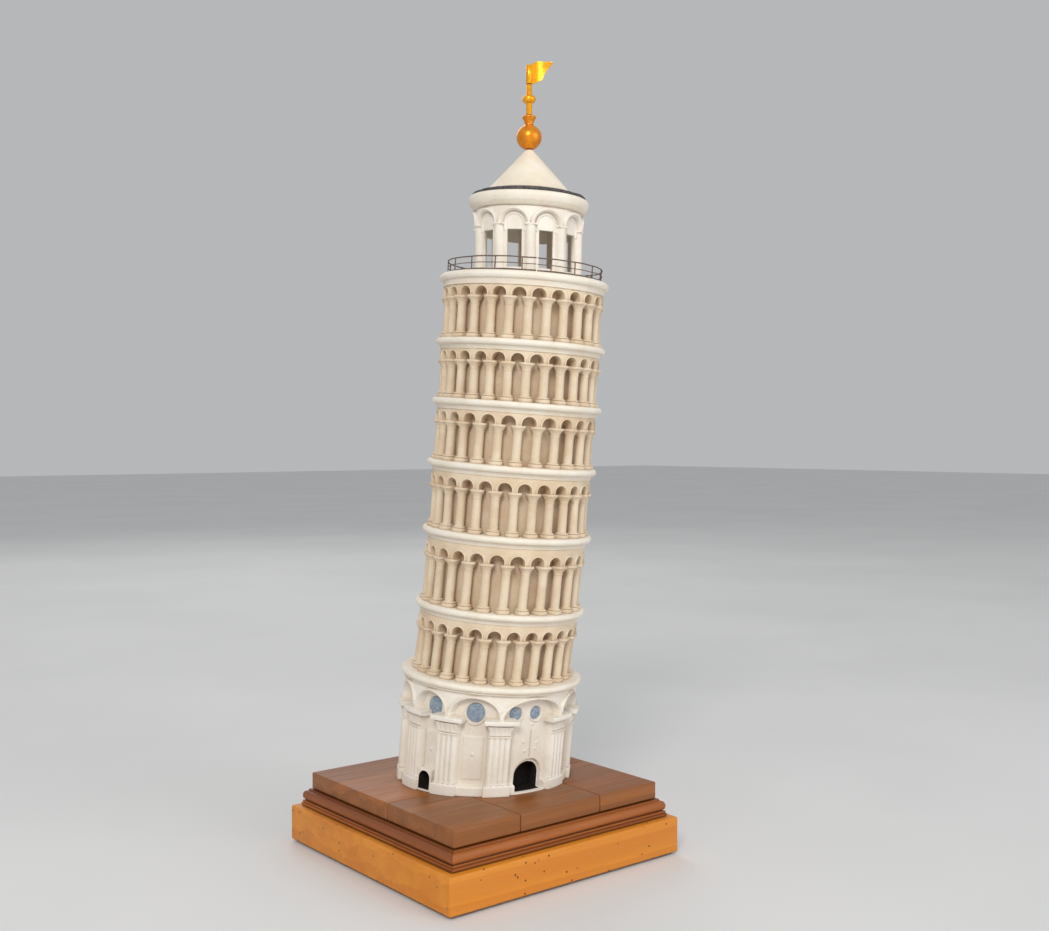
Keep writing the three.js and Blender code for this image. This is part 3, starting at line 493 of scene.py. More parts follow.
class Form:
    """Gathers points, faces and a per-point amount of painted shade and dark tone in a local frame, then
    becomes one piece of the model.
    """

    def __init__(self):
        self.points = []
        self.faces = []
        self.shade_and_dirt = []
        self.count = 0

    def add(self, points, faces, shade_and_dirt=0.0):
        points = np.asarray(points, float)
        self.points.append(points)
        self.faces.extend(tuple(index + self.count for index in face) for face in faces)
        self.shade_and_dirt.append(np.broadcast_to(np.asarray(shade_and_dirt, float), (len(points),)).copy())
        self.count += len(points)

    def make(self, name, place, materials, weld=0.0, sharp=40, normals=True):
        mesh = bpy.data.meshes.new(name)
        mesh.from_pydata(place(np.concatenate(self.points)).tolist(), [], self.faces)
        layer = mesh.attributes.new("shade_and_dirt", "FLOAT", "POINT")
        layer.data.foreach_set("value", np.concatenate(self.shade_and_dirt))
        work = bmesh.new()
        work.from_mesh(mesh)
        if weld:
            bmesh.ops.remove_doubles(work, verts=work.verts, dist=weld)
        if normals:
            bmesh.ops.recalc_face_normals(work, faces=work.faces)
        work.to_mesh(mesh)
        work.free()
        mesh.transform(Matrix.Scale(MM, 4))
        mesh.polygons.foreach_set("use_smooth", [True] * len(mesh.polygons))
        mesh.set_sharp_from_angle(angle=math.radians(sharp))
        for material in materials:
            mesh.materials.append(material)
        piece = bpy.data.objects.new(name, mesh)
        bpy.context.collection.objects.link(piece)
        return piece


def belongs(piece, nodes, body="root"):
    """The piece stands for CAD nodes, hides them and rides on their body."""
    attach(piece, body)
    if nodes:
        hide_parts(*nodes)


def cut_away(piece, cutter):
    """Cuts one mesh object out of another and drops the cutter."""
    modifier = piece.modifiers.new("cut", "BOOLEAN")
    modifier.operation = "DIFFERENCE"
    modifier.solver = "EXACT"
    modifier.object = cutter
    depsgraph = bpy.context.evaluated_depsgraph_get()
    result = bpy.data.meshes.new_from_object(piece.evaluated_get(depsgraph), depsgraph=depsgraph)
    piece.modifiers.clear()
    old = piece.data
    piece.data = result
    bpy.data.meshes.remove(old)
    bpy.data.objects.remove(cutter)


def round_points(reach, polar, z):
    """A list of points from how far they stand from the axis, their polar angle and height."""
    turn = np.radians(polar)
    return np.stack([reach * np.cos(turn), reach * np.sin(turn), z], 2).reshape(-1, 3)


def wrap_degrees(angle):
    return (np.asarray(angle) + 180) % 360 - 180


def soft(distance, width=0.4):
    """One inside a shape and nought outside, easing over a width about its edge."""
    t = np.clip(0.5 - distance / width, 0, 1)
    return t * t * (3 - 2 * t)


# ---- Wooden base ----

def eased_board(x0, y0, x1, y1, low, high, ease, seed):
    """A board with softly rounded edges and a slight wave in its height."""
    rng = np.random.default_rng(seed)
    wave, phase = rng.uniform(-1, 1, 2)
    centre = np.array([(x0 + x1) / 2, (y0 + y1) / 2, (low + high) / 2])
    half = np.array([x1 - x0, y1 - y0, high - low]) / 2
    work = bmesh.new()
    bmesh.ops.create_cube(work, size=2)
    for vert in work.verts:
        vert.co = Vector(np.array(vert.co) * half)
    edges = list(work.edges)
    bmesh.ops.bevel(work, geom=edges, offset=ease, segments=4, profile=0.5, affect="EDGES")
    points = np.array([vert.co for vert in work.verts])
    faces = [tuple(vert.index for vert in face.verts) for face in work.faces]
    work.free()
    points += centre
    points[:, 2] += 0.05 * wave * np.sin(points[:, 0] * 0.05 + phase)
    return points, faces


def make_board(name, corners, low, high, ease, material, nodes, seed):
    form = Form()
    form.add(*eased_board(*corners, low, high, ease, seed))
    belongs(form.make(name, on_base, [material], sharp=30), nodes)


def make_base_boards():
    half = PLINTH["side"] / 2
    corners = (-half, -half, half, half)
    make_board("plinth", corners, PLINTH["low"], PLINTH["high"], 0.9, HONEY,
               ["plinth_board"], SEED)
    half = TOP["side"] / 2
    seam = 0.06
    butt, joint = TOP["butt_x"], TOP["seam_y"]
    layout = {
        "top_board_back": (-half, joint + seam, half, half),
        "top_board_front_left": (-half, -half, -butt - seam, joint - seam),
        "top_board_front_middle": (-butt + seam, -half, butt - seam, joint - seam),
        "top_board_front_right": (butt + seam, -half, half, joint - seam),
    }
    tones = ((0.37, 0.125, 0.026), (0.35, 0.117, 0.023), (0.38, 0.13, 0.028), (0.36, 0.121, 0.025))
    for index, (node, corners) in enumerate(layout.items()):
        light = tones[index]
        dark = tuple(0.62 * c for c in light)
        material = wood(f"brown_wood_{index + 1}", light, dark, "X", (31 * index, 17 * index, 5 * index))
        low = TOP["low"] + GAP
        make_board(f"{node}_piece", corners, low, TOP["high"], 0.55, material, [node],
                   SEED + index)


def moulding_profile():
    """(reach from the middle, height) points round a strip's section, outside first."""
    outer = MOULDING["side"] / 2
    inner = outer - MOULDING["width"]
    low = MOULDING["low"] + GAP
    high = MOULDING["high"]
    return [
        (inner, low), (outer - 0.2, low), (outer, low + 0.2), (outer, low + 0.9), (outer - 0.2, low + 1.1),
        (outer - 0.6, low + 1.15), (outer - 0.5, low + 1.3), (outer - 0.45, low + 1.95),
        (outer - 0.65, low + 2.15), (outer - 1.5, low + 2.2), (outer - 1.6, low + 2.4),
        (outer - 1.1, low + 2.6), (outer - 0.7, low + 3.0), (outer - 0.5, low + 3.7),
        (outer - 0.5, low + 4.6), (outer - 0.75, low + 5.5), (outer - 1.2, low + 6.0),
        (outer - 1.9, low + 6.25), (outer - 2.4, low + 6.35), (outer - 2.4, high), (inner, high),
    ]


def make_mouldings():
    profile = moulding_profile()
    steps = 24
    count = len(profile)
    for index, side in enumerate(("front", "right", "back", "left")):
        rng = np.random.default_rng(SEED + 20 + index)
        points = []
        for step in range(steps + 1):
            share = 2 * step / steps - 1
            sag = 0.06 * math.sin(3 * share + rng.uniform(0, 0.3))
            for reach, height in profile:
                points.append((share * (reach - 0.08), -reach + sag, height))
        faces = grid_faces(steps + 1, count)
        faces.append(tuple(range(count)))
        faces.append(tuple(steps * count + at for at in reversed(range(count))))
        form = Form()
        form.add(points, faces)
        turn = Matrix.Rotation(index * math.pi / 2, 4, "Z")
        form.points[0] = moved(form.points[0], turn)
        material = STAINED_X if index % 2 == 0 else STAINED_Y
        piece = form.make(f"moulding_strip_{side}", on_base, [material], sharp=38)
        belongs(piece, [f"moulding_{side}"])


# ---- Cornices ----

def cornice_profile(size, middle):
    """A slab's section: a cove, a rolled edge and a nearly flat top."""
    radius, roll, cove, frieze = (size[key] for key in ("radius", "roll", "cove", "frieze"))
    half = roll / 2
    under = middle - half
    bulge = min(half, 1.7)
    points = [(0, under - cove + 0.05), (frieze - 0.4, under - cove + 0.05), (frieze, under - cove + 0.2)]
    for step in range(1, 6):
        t = step / 6
        points.append((frieze + (radius - 1.5 - frieze) * t ** 1.6, under - cove + 0.2 + (cove - 0.3) * t))
    points.append((radius - 1.35, under - 0.02))
    lower = arc_points((radius - bulge, middle - half + bulge), bulge, -80, 0, 6)
    upper = arc_points((radius - bulge, middle + half - bulge), bulge, 0, 85, 6)
    points += lower + upper
    points += [(radius - bulge - 1.2, middle + half + 0.02), (0, middle + half + 0.02)]
    return points


def uneven(points, amount, scale, seed):
    """Moves points sideways by a smooth small wave round the axis, as hand-cast work has."""
    rng = np.random.default_rng(seed)
    turn = np.arctan2(points[:, 1], points[:, 0])
    waves = np.zeros(len(points))
    for harmonic in (2, 3, 5, 9, 17, 31):
        waves += rng.uniform(-1, 1) * np.sin(harmonic * turn + rng.uniform(0, 6.28)) / harmonic ** 0.5
    radius = np.hypot(points[:, 0], points[:, 1])
    share = np.clip((radius - 0.5 * scale) / (0.5 * scale), 0, 1)
    reach = 1 + amount * waves * share / np.maximum(radius, 1)
    points = points.copy()
    points[:, 0] *= reach
    points[:, 1] *= reach
    points[:, 2] += 0.5 * amount * np.roll(waves, 7) * share
    return points


def bowl_profile(size, middle):
    """The belfry's cornice: one smooth bowl from the wall to a round rim."""
    radius, roll, cove, frieze = (size[key] for key in ("radius", "roll", "cove", "frieze"))
    low, high = middle - roll / 2 - cove + 0.05, middle + roll / 2 + 0.02
    start, widest = frieze - 0.75, middle + 0.6
    points = [(0, low), (frieze - 0.9, low)]
    for t in np.linspace(0, 1, 9):
        reach = start + (radius - start) * math.sin(t * math.pi / 2) ** 0.9
        points.append((reach, low + (widest - low) * t))
    rim = high - widest
    points += arc_points((radius - rim, widest), rim, 12, 85, 8)
    return points + [(radius - rim - 1, high), (0, high)]


def make_cornice(node, place, size, middle, seed, profile=cornice_profile):
    points, faces = revolve(profile(size, middle), RING_SEGMENTS)
    points = uneven(points, 0.07, size["radius"], seed)
    radius = np.hypot(points[:, 0], points[:, 1])
    # Painted shade on the cove under the rolled edge, which the slab shades.
    under = (points[:, 2] < middle - size["roll"] / 2 + 0.1) & (radius > size["frieze"] - 1)
    form = Form()
    form.add(points, faces, 0.22 * under)
    belongs(form.make(f"{node}_ring", place, [RINGS], sharp=50), [node])


# ---- Galleries ----

def column_template(low, high):
    """One turned column: plinth, roll, tapering shaft, neck ring, bell and square abacus."""
    foot, shaft = 1.95, 1.86
    neck = high - 3.7
    rows = [
        ((0, low), 0), ((2.75, low), 0.8), ((2.85, low + 0.12), 0.8), ((2.85, low + 1.3), 0.8),
        ((2.7, low + 1.5), 0.6), ((2.35, low + 1.6), 0), ((2.7, low + 1.8), 0.2), ((2.7, low + 2.15), 0.2),
        ((2.2, low + 2.35), 0), ((foot + 0.02, low + 2.5), 0),
        ((foot - 0.02, low + 4.0), 0), ((foot - 0.04, (low + neck) / 2), 0), ((shaft - 0.02, neck - 0.3), 0),
        ((shaft, neck), 0), ((shaft + 0.2, neck + 0.12), 0), ((shaft + 0.2, neck + 0.36), 0),
        ((shaft - 0.02, neck + 0.5), 0), ((shaft + 0.12, neck + 1.1), 0.1), ((shaft + 0.4, neck + 1.9), 0.3),
        ((2.7, neck + 2.4), 0.5), ((2.8, neck + 2.6), 0.6), ((2.7, neck + 2.7), 0.7),
        ((2.95, neck + 2.8), 0.8), ((3.02, neck + 2.95), 0.8), ((3.02, high - 0.1), 0.8),
        ((2.95, high), 0.8), ((0, high), 0),
    ]
    profile = [pair for pair, amount in rows]
    square = [amount for pair, amount in rows[1:-1]]
    return revolve(profile, 20, 9, square)


def arch_bay(half_pitch, spring_low, ceiling):
    """Points of one arched bay as loops from its back edge over its moulded front to its corners.

    Each loop has a point for every sample along the arch: (distance along the wall, height,
    distance from the axis)."""
    spring = spring_low + ARCH_STILT
    half = half_pitch * ARCH_SHARE
    corner = math.degrees(math.atan2(ceiling - spring, half_pitch))
    angles = sorted(set(np.linspace(0, 180, 19).tolist() + [corner, 180 - corner]), reverse=True)

    def offset(out):
        line = [(-half - out, spring_low), (-half - out, (spring_low + spring) / 2)]
        for angle in angles:
            a = math.radians(angle)
            line.append(((half + out) * math.cos(a), spring + (half + out) * math.sin(a)))
        return line + [(half + out, (spring_low + spring) / 2), (half + out, spring_low)]

    def frame_line():
        line = [(-half_pitch, spring_low), (-half_pitch, (spring_low + spring) / 2)]
        for angle in angles:
            a = math.radians(angle)
            reach = min(half_pitch / max(abs(math.cos(a)), 1e-6), (ceiling - spring) / max(math.sin(a), 1e-6))
            line.append((reach * math.cos(a), spring + reach * math.sin(a)))
        return line + [(half_pitch, (spring_low + spring) / 2), (half_pitch, spring_low)]

    def at(line, reach):
        return [(s, z, reach) for s, z in line]

    return [
        at(offset(0), CORE - 0.3), at(offset(0), FACE - 0.5), at(offset(0), FACE + 0.2),
        at(offset(0.12), FACE + 0.5), at(offset(0.6), FACE + 0.5), at(offset(0.72), FACE + 0.02),
        at(frame_line(), FACE), at(frame_line(), CORE - 0.3),
    ]


def add_arcade(form, low, ceiling, count, phase):
    """The ring of arches over the columns, one closed bay at a time, welded later."""
    pitch = 360 / count
    half_pitch = math.radians(pitch / 2) * FACE
    loops = arch_bay(half_pitch, 0, ceiling - low)
    samples = len(loops[0])
    for bay in range(count):
        middle = math.radians(phase + (bay + 0.5) * pitch)
        points = []
        shade_and_dirt = []
        for index, loop in enumerate(loops):
            for s, z, reach in loop:
                turn = middle + s / FACE
                points.append((reach * math.cos(turn), reach * math.sin(turn), low + z))
                # Painted shade, deeper inside the arch.
                shade_and_dirt.append(ARCH_PAINTED_SHADE[index])
        faces = []
        for index in range(len(loops)):
            after = (index + 1) % len(loops)
            framed = index == len(loops) - 2
            for t in range(samples - 1):
                ends = abs(loops[index][t][0]) + abs(loops[index][t + 1][0])
                if framed and abs(ends - 2 * half_pitch) < 1e-6:
                    continue
                a, b = index * samples + t, after * samples + t
                faces.append((a, a + 1, b + 1, b))
        faces.append(tuple(index * samples for index in range(len(loops))))
        faces.append(tuple(index * samples + samples - 1 for index in reversed(range(len(loops)))))
        form.add(points, faces, shade_and_dirt)


def add_core(form, low, high, count, phase):
    """The drum behind the columns, with painted shade that darkens it towards the top, near its foot and
    beside each column.
    """
    rows = 14
    heights = np.linspace(low, high, rows)
    profile = [(0, low)] + [(CORE, height) for height in heights] + [(0, high)]
    points, faces = revolve(profile, RING_SEGMENTS)
    share = np.clip((points[:, 2] - low) / (high - low), 0, 1)
    turn = np.degrees(np.arctan2(points[:, 1], points[:, 0])) - phase
    near_column = np.abs((turn * count / 360 + 0.5) % 1 - 0.5)
    shade_and_dirt = 0.24 + 0.3 * share ** 2.5 + 0.16 * (1 - np.clip(near_column * 4, 0, 1)) + 0.2 * (1 - share) ** 8
    form.add(points, faces, shade_and_dirt)


def make_gallery(number):
    count, phase = COLUMN_COUNTS[number - 2], COLUMN_PHASES[number - 2]
    foot, middle = LEVELS[number - 2], LEVELS[number - 1]
    lid = TERRACE if number == len(LEVELS) else CORNICE
    low = foot + CORNICE["roll"] / 2 + 0.04
    high = middle - lid["roll"] / 2 - lid["cove"] + 0.04
    capital_top = foot + CORNICE["roll"] / 2 + COLUMN_SHARE * (middle - foot)
    rng = np.random.default_rng(SEED + 100 + number)
    form = Form()
    points, faces = column_template(low, capital_top)
    for index in range(count):
        polar = math.radians(phase + index * 360 / count)
        grow = 1 + rng.normal(0, 0.012)
        lean = rng.normal(0, 0.004, 2)
        column = points.copy()
        column[:, :2] *= grow
        column[:, 0] += lean[0] * (column[:, 2] - low)
        column[:, 1] += lean[1] * (column[:, 2] - low)
        # Painted shade on each column's back, which faces the core, a painted highlight on the base's roll,
        # and a small random tone for each column.
        back_shade = np.clip(-column[:, 0] / 2.2, 0, 1)
        rim = np.exp(-((column[:, 2] - low - 1.9) / 0.5) ** 2)
        shade_and_dirt = np.clip(0.1 + 0.4 * back_shade + rng.uniform(0, 0.06) - 0.1 * rim, 0, 1)
        column[:, 0] += COLUMN_CIRCLE
        turned = column.copy()
        turned[:, 0] = column[:, 0] * math.cos(polar) - column[:, 1] * math.sin(polar)
        turned[:, 1] = column[:, 0] * math.sin(polar) + column[:, 1] * math.cos(polar)
        form.add(turned, faces, shade_and_dirt)
    piece = form.make(f"gallery_{number}_columns", on_tower, [BUFF], sharp=42)
    belongs(piece, [f"gallery_{number}_colonnade"])
    arcade = Form()
    add_arcade(arcade, capital_top, high, count, phase)
    piece = arcade.make(f"gallery_{number}_arcade", on_tower, [BUFF], weld=1e-3, sharp=42)
    belongs(piece, [])
    core = Form()
    add_core(core, low, high, count, phase)
    belongs(core.make(f"gallery_{number}_core", on_tower, [BUFF], sharp=42), [])


def make_galleries():
    for number in range(2, len(LEVELS) + 1):
        make_gallery(number)
        last = number == len(LEVELS)
        node = "terrace_slab" if last else f"gallery_{number}_cornice"
        make_cornice(node, on_tower, TERRACE if last else CORNICE, LEVELS[number - 1], SEED + number)


# ---- Ground storey ----

def ground_bays():
    """Every bay's middle polar angle and half width along the wall, the entrance bay first."""
    bays = []
    for index, polar in enumerate(PILASTERS):
        after = PILASTERS[index + 1] if index + 1 < len(PILASTERS) else PILASTERS[0] + 360
        bays.append(((polar + after) / 2, math.radians((after - polar) / 2) * GROUND_WALL))
    return bays


def along_wall(polar, middle):
    """Distance along the ground wall from a polar angle, in millimetres."""
    return np.radians(wrap_degrees(polar - middle)) * GROUND_WALL


def bay_relief(reach, polar, z, middle, half):
    """Sinks one bay and its tympanum, and lays the arch rib round it."""
    spring = CAPITAL["top"]
    s = along_wall(polar, middle)
    inner, rise = half - BLIND["rib"], BLIND["rise"] - BLIND["rib"]
    ring = (np.hypot(s / inner, (z - spring) / rise) - 1) * rise
    arch = np.where(z >= spring, ring, np.maximum(np.abs(s) - inner, spring - z))
    shaft = np.maximum(np.abs(s) - half + BLIND["inset"], np.maximum(COURSE["top"] - z, z - spring - 0.6))
    sunk = soft(np.minimum(arch, shaft), 0.6)
    reach = reach - sunk * (GROUND_WALL - GROUND_RECESS)
    band = np.abs(ring - BLIND["rib"] / 2) / (BLIND["rib"] / 2)
    rib = np.sqrt(np.clip(1 - band ** 2, 0, 1)) * soft(spring - 0.6 - z, 0.8)
    near = np.abs(s) < half + 1
    raised = GROUND_WALL - 0.5 + (BLIND["reach"] - GROUND_WALL + 0.9) * rib
    return np.where(near & (rib > 0), np.maximum(reach, raised), reach)


def panel_relief(reach, polar, z, middle, half):
    """A thin raised panel in the bay and a small stud on it."""
    s = along_wall(polar, middle)
    tall = np.abs(z - BAY_PANEL["middle"]) - BAY_PANEL["half_height"]
    panel = soft(np.maximum(np.abs(s) - half, tall), 0.5)
    stud = soft(np.hypot(s, z - BAY_PANEL["stud"]) - 0.55, 0.5)
    return reach + BAY_PANEL["proud"] * panel + 0.6 * stud


def roundel_relief(reach, polar, z, middle, radius):
    """The round sinking for an inlay, with a lip below it."""
    s = along_wall(polar, middle)
    away = np.hypot(s, z - ROUNDEL["z"]) - radius - 0.3
    lip = np.exp(-((away - 0.55) / 0.35) ** 2) * np.clip(0.5 - (z - ROUNDEL["z"]) / 4, 0, 1)
    return reach - 1.1 * soft(away, 0.35) + 0.7 * lip


def pilaster_relief(reach, polar, z, middle):
    """One reeded half-column with its pedestal, rings, bell and abacus."""
    s = along_wall(polar, middle)
    width = PILASTER["width"]
    reed = width / PILASTER["reeds"] / 2
    local = (s + width / 2) % (2 * reed) - reed
    bulge = np.sqrt(np.clip(reed ** 2 - local ** 2, 0, None))
    upright = soft(np.abs(s) - width / 2, 0.3) * soft(PILASTER["foot"] - z, 0.3)
    upright = upright * soft(z - PILASTER["top"], 0.3)
    reach = np.maximum(reach, upright * (PILASTER["reach"] - reed * 0.85 + 0.95 * bulge))
    for low, high, half, out in ((4.6, 5.5, 5.0, 37.5), (24.7, 25.5, 5.0, 37.7)):
        mask = soft(np.abs(s) - half, 0.4) * soft(np.abs(z - (low + high) / 2) - (high - low) / 2, 0.5)
        reach = np.maximum(reach, mask * out)
    top = PEDESTAL["top"]
    edge = np.maximum(np.abs(s) - PEDESTAL["width"] / 2, z - top)
    reach = np.maximum(reach, soft(edge, 0.5) * (PEDESTAL["reach"] - 0.25 * np.exp(-((z - top) / 0.5) ** 2)))
    rise = np.clip((z - PILASTER["top"]) / (CAPITAL["bell"] - PILASTER["top"]), 0, 1)
    half = 4.7 + 1.1 * rise ** 1.6
    leaf = 0.22 * np.cos(s * 2 * math.pi / 2.1) * np.sin(math.pi * rise)
    bell = soft(np.abs(s) - half, 0.4) * soft(PILASTER["top"] - z, 0.3) * soft(z - CAPITAL["bell"], 0.3)
    reach = np.maximum(reach, bell * (36.9 + 1.5 * rise ** 1.5 + leaf))
    centre = (CAPITAL["bell"] + CAPITAL["top"]) / 2
    tall = (CAPITAL["top"] - CAPITAL["bell"]) / 2
    plate = np.maximum(np.abs(s) - CAPITAL["width"] / 2, np.abs(z - centre) - tall)
    swell = CAPITAL["reach"] - 0.5 * np.clip((np.abs(z - centre) - 0.2) / tall, 0, 1) ** 2
    return np.maximum(reach, soft(plate, 0.45) * swell)


def door_seam(s, z, width):
    """One along the upright mould line over the main doorway, nought away from it."""
    return np.exp(-((s / width) ** 2)) * soft(DOOR_SEAM["low"] - z, 0.5) * soft(z - DOOR_SEAM["high"], 0.5)


def ground_reach(polar, z):
    """How far the ground storey's face stands from its axis, by polar angle and height."""
    reach = np.full(z.shape, GROUND_WALL)
    bays = ground_bays()
    for middle, half in bays:
        reach = bay_relief(reach, polar, z, middle, half)
    for middle, half in bays[1:]:
        room = half - BLIND["inset"] - 0.5
        reach = panel_relief(reach, polar, z, middle, min(BAY_PANEL["half_width"], room))
        reach = roundel_relief(reach, polar, z, middle, ROUNDEL["radius"])
    for middle in DOOR_ROUNDEL_POLARS:
        reach = roundel_relief(reach, polar, z, middle, DOOR_ROUNDEL["radius"])
    s = along_wall(polar, MAIN_DOOR["polar"])
    for x, height in DOOR_STUDS:
        reach = reach + 0.5 * soft(np.hypot(s - x, z - height) - 0.5, 0.5)
    seam = door_seam(s, z, 0.22)
    reach = reach - 0.35 * seam
    over = z - COURSE["top"]
    reach = np.maximum(reach, soft(over, 0.5) * (COURSE["reach"] - 0.2 * np.exp(-(over / 0.5) ** 2)))
    half = REVEAL["width"] / 2
    inside = np.hypot(s, np.maximum(z - REVEAL["top"] + half, 0)) - half
    sunk = soft(np.maximum(inside, MAIN_DOOR["sill"] - z), 0.3)
    reach = reach - sunk * np.clip(reach - REVEAL["reach"], 0, None)
    side = np.abs(along_wall(polar, SIDE_DOOR["polar"])) - SURROUND["width"] / 2
    reach = np.maximum(reach, soft(np.maximum(side, z - SURROUND["top"]), 0.5) * SURROUND["reach"])
    for middle in PILASTERS:
        reach = pilaster_relief(reach, polar, z, middle)
    return reach


def door_cutter(door):
    """A round-headed block from outside the wall to the back of a doorway. What it cuts is
    painted with the wall's second material."""
    half = door["width"] / 2
    sill = door["sill"]
    spring = sill + door["height"] - half
    outline = [(-half, sill), (half, sill)]
    outline += [(half * math.cos(a), spring + half * math.sin(a)) for a in np.linspace(0, math.pi, 25)]
    points = np.array([(s, -near, z) for near in (DOOR_BACK, 46) for s, z in outline])
    count = len(outline)
    faces = [(i, (i + 1) % count, count + (i + 1) % count, count + i) for i in range(count)]
    faces += [tuple(reversed(range(count))), tuple(range(count, 2 * count))]
    form = Form()
    form.add(moved(points, Matrix.Rotation(math.radians(door["polar"] + 90), 4, "Z")), faces)
    cutter = form.make("door_cutter", on_tower, [IVORY, SHADOW], sharp=30)
    cutter.data.polygons.foreach_set("material_index", [1] * len(cutter.data.polygons))
    return cutter


def make_ground_storey():
    columns, rows = GROUND_GRID
    top = LEVELS[0] - GROUND_CORNICE["roll"] / 2 - GROUND_CORNICE["cove"] - 0.05
    polar = np.linspace(0, 360, columns, endpoint=False)
    share = np.linspace(0, 1, rows)[:, None]
    z = np.broadcast_to(0.06 + (top - 0.06) * share, (rows, columns))
    grid = np.broadcast_to(polar[None, :], z.shape)
    reach = ground_reach(grid, z)
    points = round_points(reach, grid, z)
    # Painted shade where the wall sinks behind its face, and a darker tone along the seam line over the main
    # doorway.
    sunk = np.clip((GROUND_WALL - 0.4 - reach) / 8, 0, 0.2).reshape(-1)
    s = along_wall(grid, MAIN_DOOR["polar"])
    seam = door_seam(s, z, 0.3).reshape(-1)
    ends = [[0, 0, 0.1], [0, 0, top]]
    faces = grid_faces(rows, columns) + cap_fans((rows - 1) * columns, columns, len(points), len(points) + 1)
    form = Form()
    form.add(np.concatenate([points, ends]), faces, np.concatenate([sunk + 0.7 * seam, [0, 0]]))
    wall = form.make("ground_wall", on_tower, [IVORY, SHADOW], sharp=60)
    cut_away(wall, door_cutter(MAIN_DOOR))
    cut_away(wall, door_cutter(SIDE_DOOR))
    belongs(wall, ["ground_storey"])
    make_cornice("ground_cornice", on_tower, GROUND_CORNICE, LEVELS[0], SEED + 1)


def make_roundels():
    places = [(DOOR_ROUNDEL, polar) for polar in DOOR_ROUNDEL_POLARS]
    places += [(ROUNDEL, polar) for polar, half in ground_bays()[1:]]
    for index, (size, polar) in enumerate(places):
        thick, radius = size["thick"], size["radius"]
        profile = [(0, -thick), (radius, -thick), (radius, -0.35), (radius - 0.1, -0.12), (radius - 0.35, 0)]
        profile += [(radius * 0.6, 0.08), (radius * 0.3, 0.12), (0, 0.14)]
        points, faces = revolve(profile, 40)
        out = Matrix.Translation((GROUND_RECESS - size["sunk"], 0, size["z"]))
        stand = Matrix.Rotation(math.radians(polar), 4, "Z") @ out @ Matrix.Rotation(math.pi / 2, 4, "Y")
        form = Form()
        form.add(moved(points, stand), faces)
        piece = form.make(f"slate_roundel_{index + 1}", on_tower, [SLATE], sharp=50)
        belongs(piece, [f"roundel_{index + 1}"])


# ---- Terrace railing ----

def add_wire(form, path, radius, sides=8):
    """A round wire along a path of points, closed at both ends."""
    path = [Vector(p) for p in path]
    rings = []
    for index, point in enumerate(path):
        ahead = path[min(index + 1, len(path) - 1)] - path[max(index - 1, 0)]
        ahead.normalize()
        across = ahead.cross(Vector((0, 0, 1)))
        if across.length < 0.3:
            across = ahead.cross(Vector((1, 0, 0)))
        across.normalize()
        lift = across.cross(ahead)
        for side in range(sides):
            a = 2 * math.pi * side / sides
            rings.append(point + radius * (math.cos(a) * across + math.sin(a) * lift))
    faces = grid_faces(len(path), sides)
    faces.append(tuple(reversed(range(sides))))
    faces.append(tuple(range((len(path) - 1) * sides, len(path) * sides)))
    form.add([tuple(p) for p in rings], faces)


def make_railing():
    radius, height, wire = RAIL["radius"], RAIL["height"], RAIL["wire"] / 2
    rng = np.random.default_rng(SEED + 50)
    steps = 24
    for section in range(RAIL["sections"]):
        start = section * 360 / RAIL["sections"]
        sweep = 360 / RAIL["sections"] - 1
        form = Form()
        for level, share_of_wire in ((height - wire, 0.6), (height / 2, 0.4), (wire, 0.8)):
            droop = rng.uniform(-0.15, 0.15) * (level > wire)
            path = []
            for step in range(steps + 1):
                share = step / steps
                a = math.radians(start + sweep * share)
                lift = droop * math.sin(share * math.pi) + 0.05 * math.sin(share * 17 + section)
                path.append((radius * math.cos(a), radius * math.sin(a), TERRACE_TOP + level + lift))
            add_wire(form, path, wire * share_of_wire)
        posts = RAIL["posts"]
        for post in range(posts):
            a = math.radians(start + (post + 0.5) * sweep / posts)
            bend = rng.uniform(-0.12, 0.12, 2)
            foot = Vector((radius * math.cos(a), radius * math.sin(a), TERRACE_TOP + 0.05))
            top = foot + Vector((bend[0], bend[1], height - wire))
            add_wire(form, [foot, foot.lerp(top, 0.5), top], wire * 0.55)
        piece = form.make(f"railing_section_{section + 1}", on_tower, [RUST], sharp=60)
        belongs(piece, [f"terrace_railing_{section + 1}"])


# ---- Belfry ----

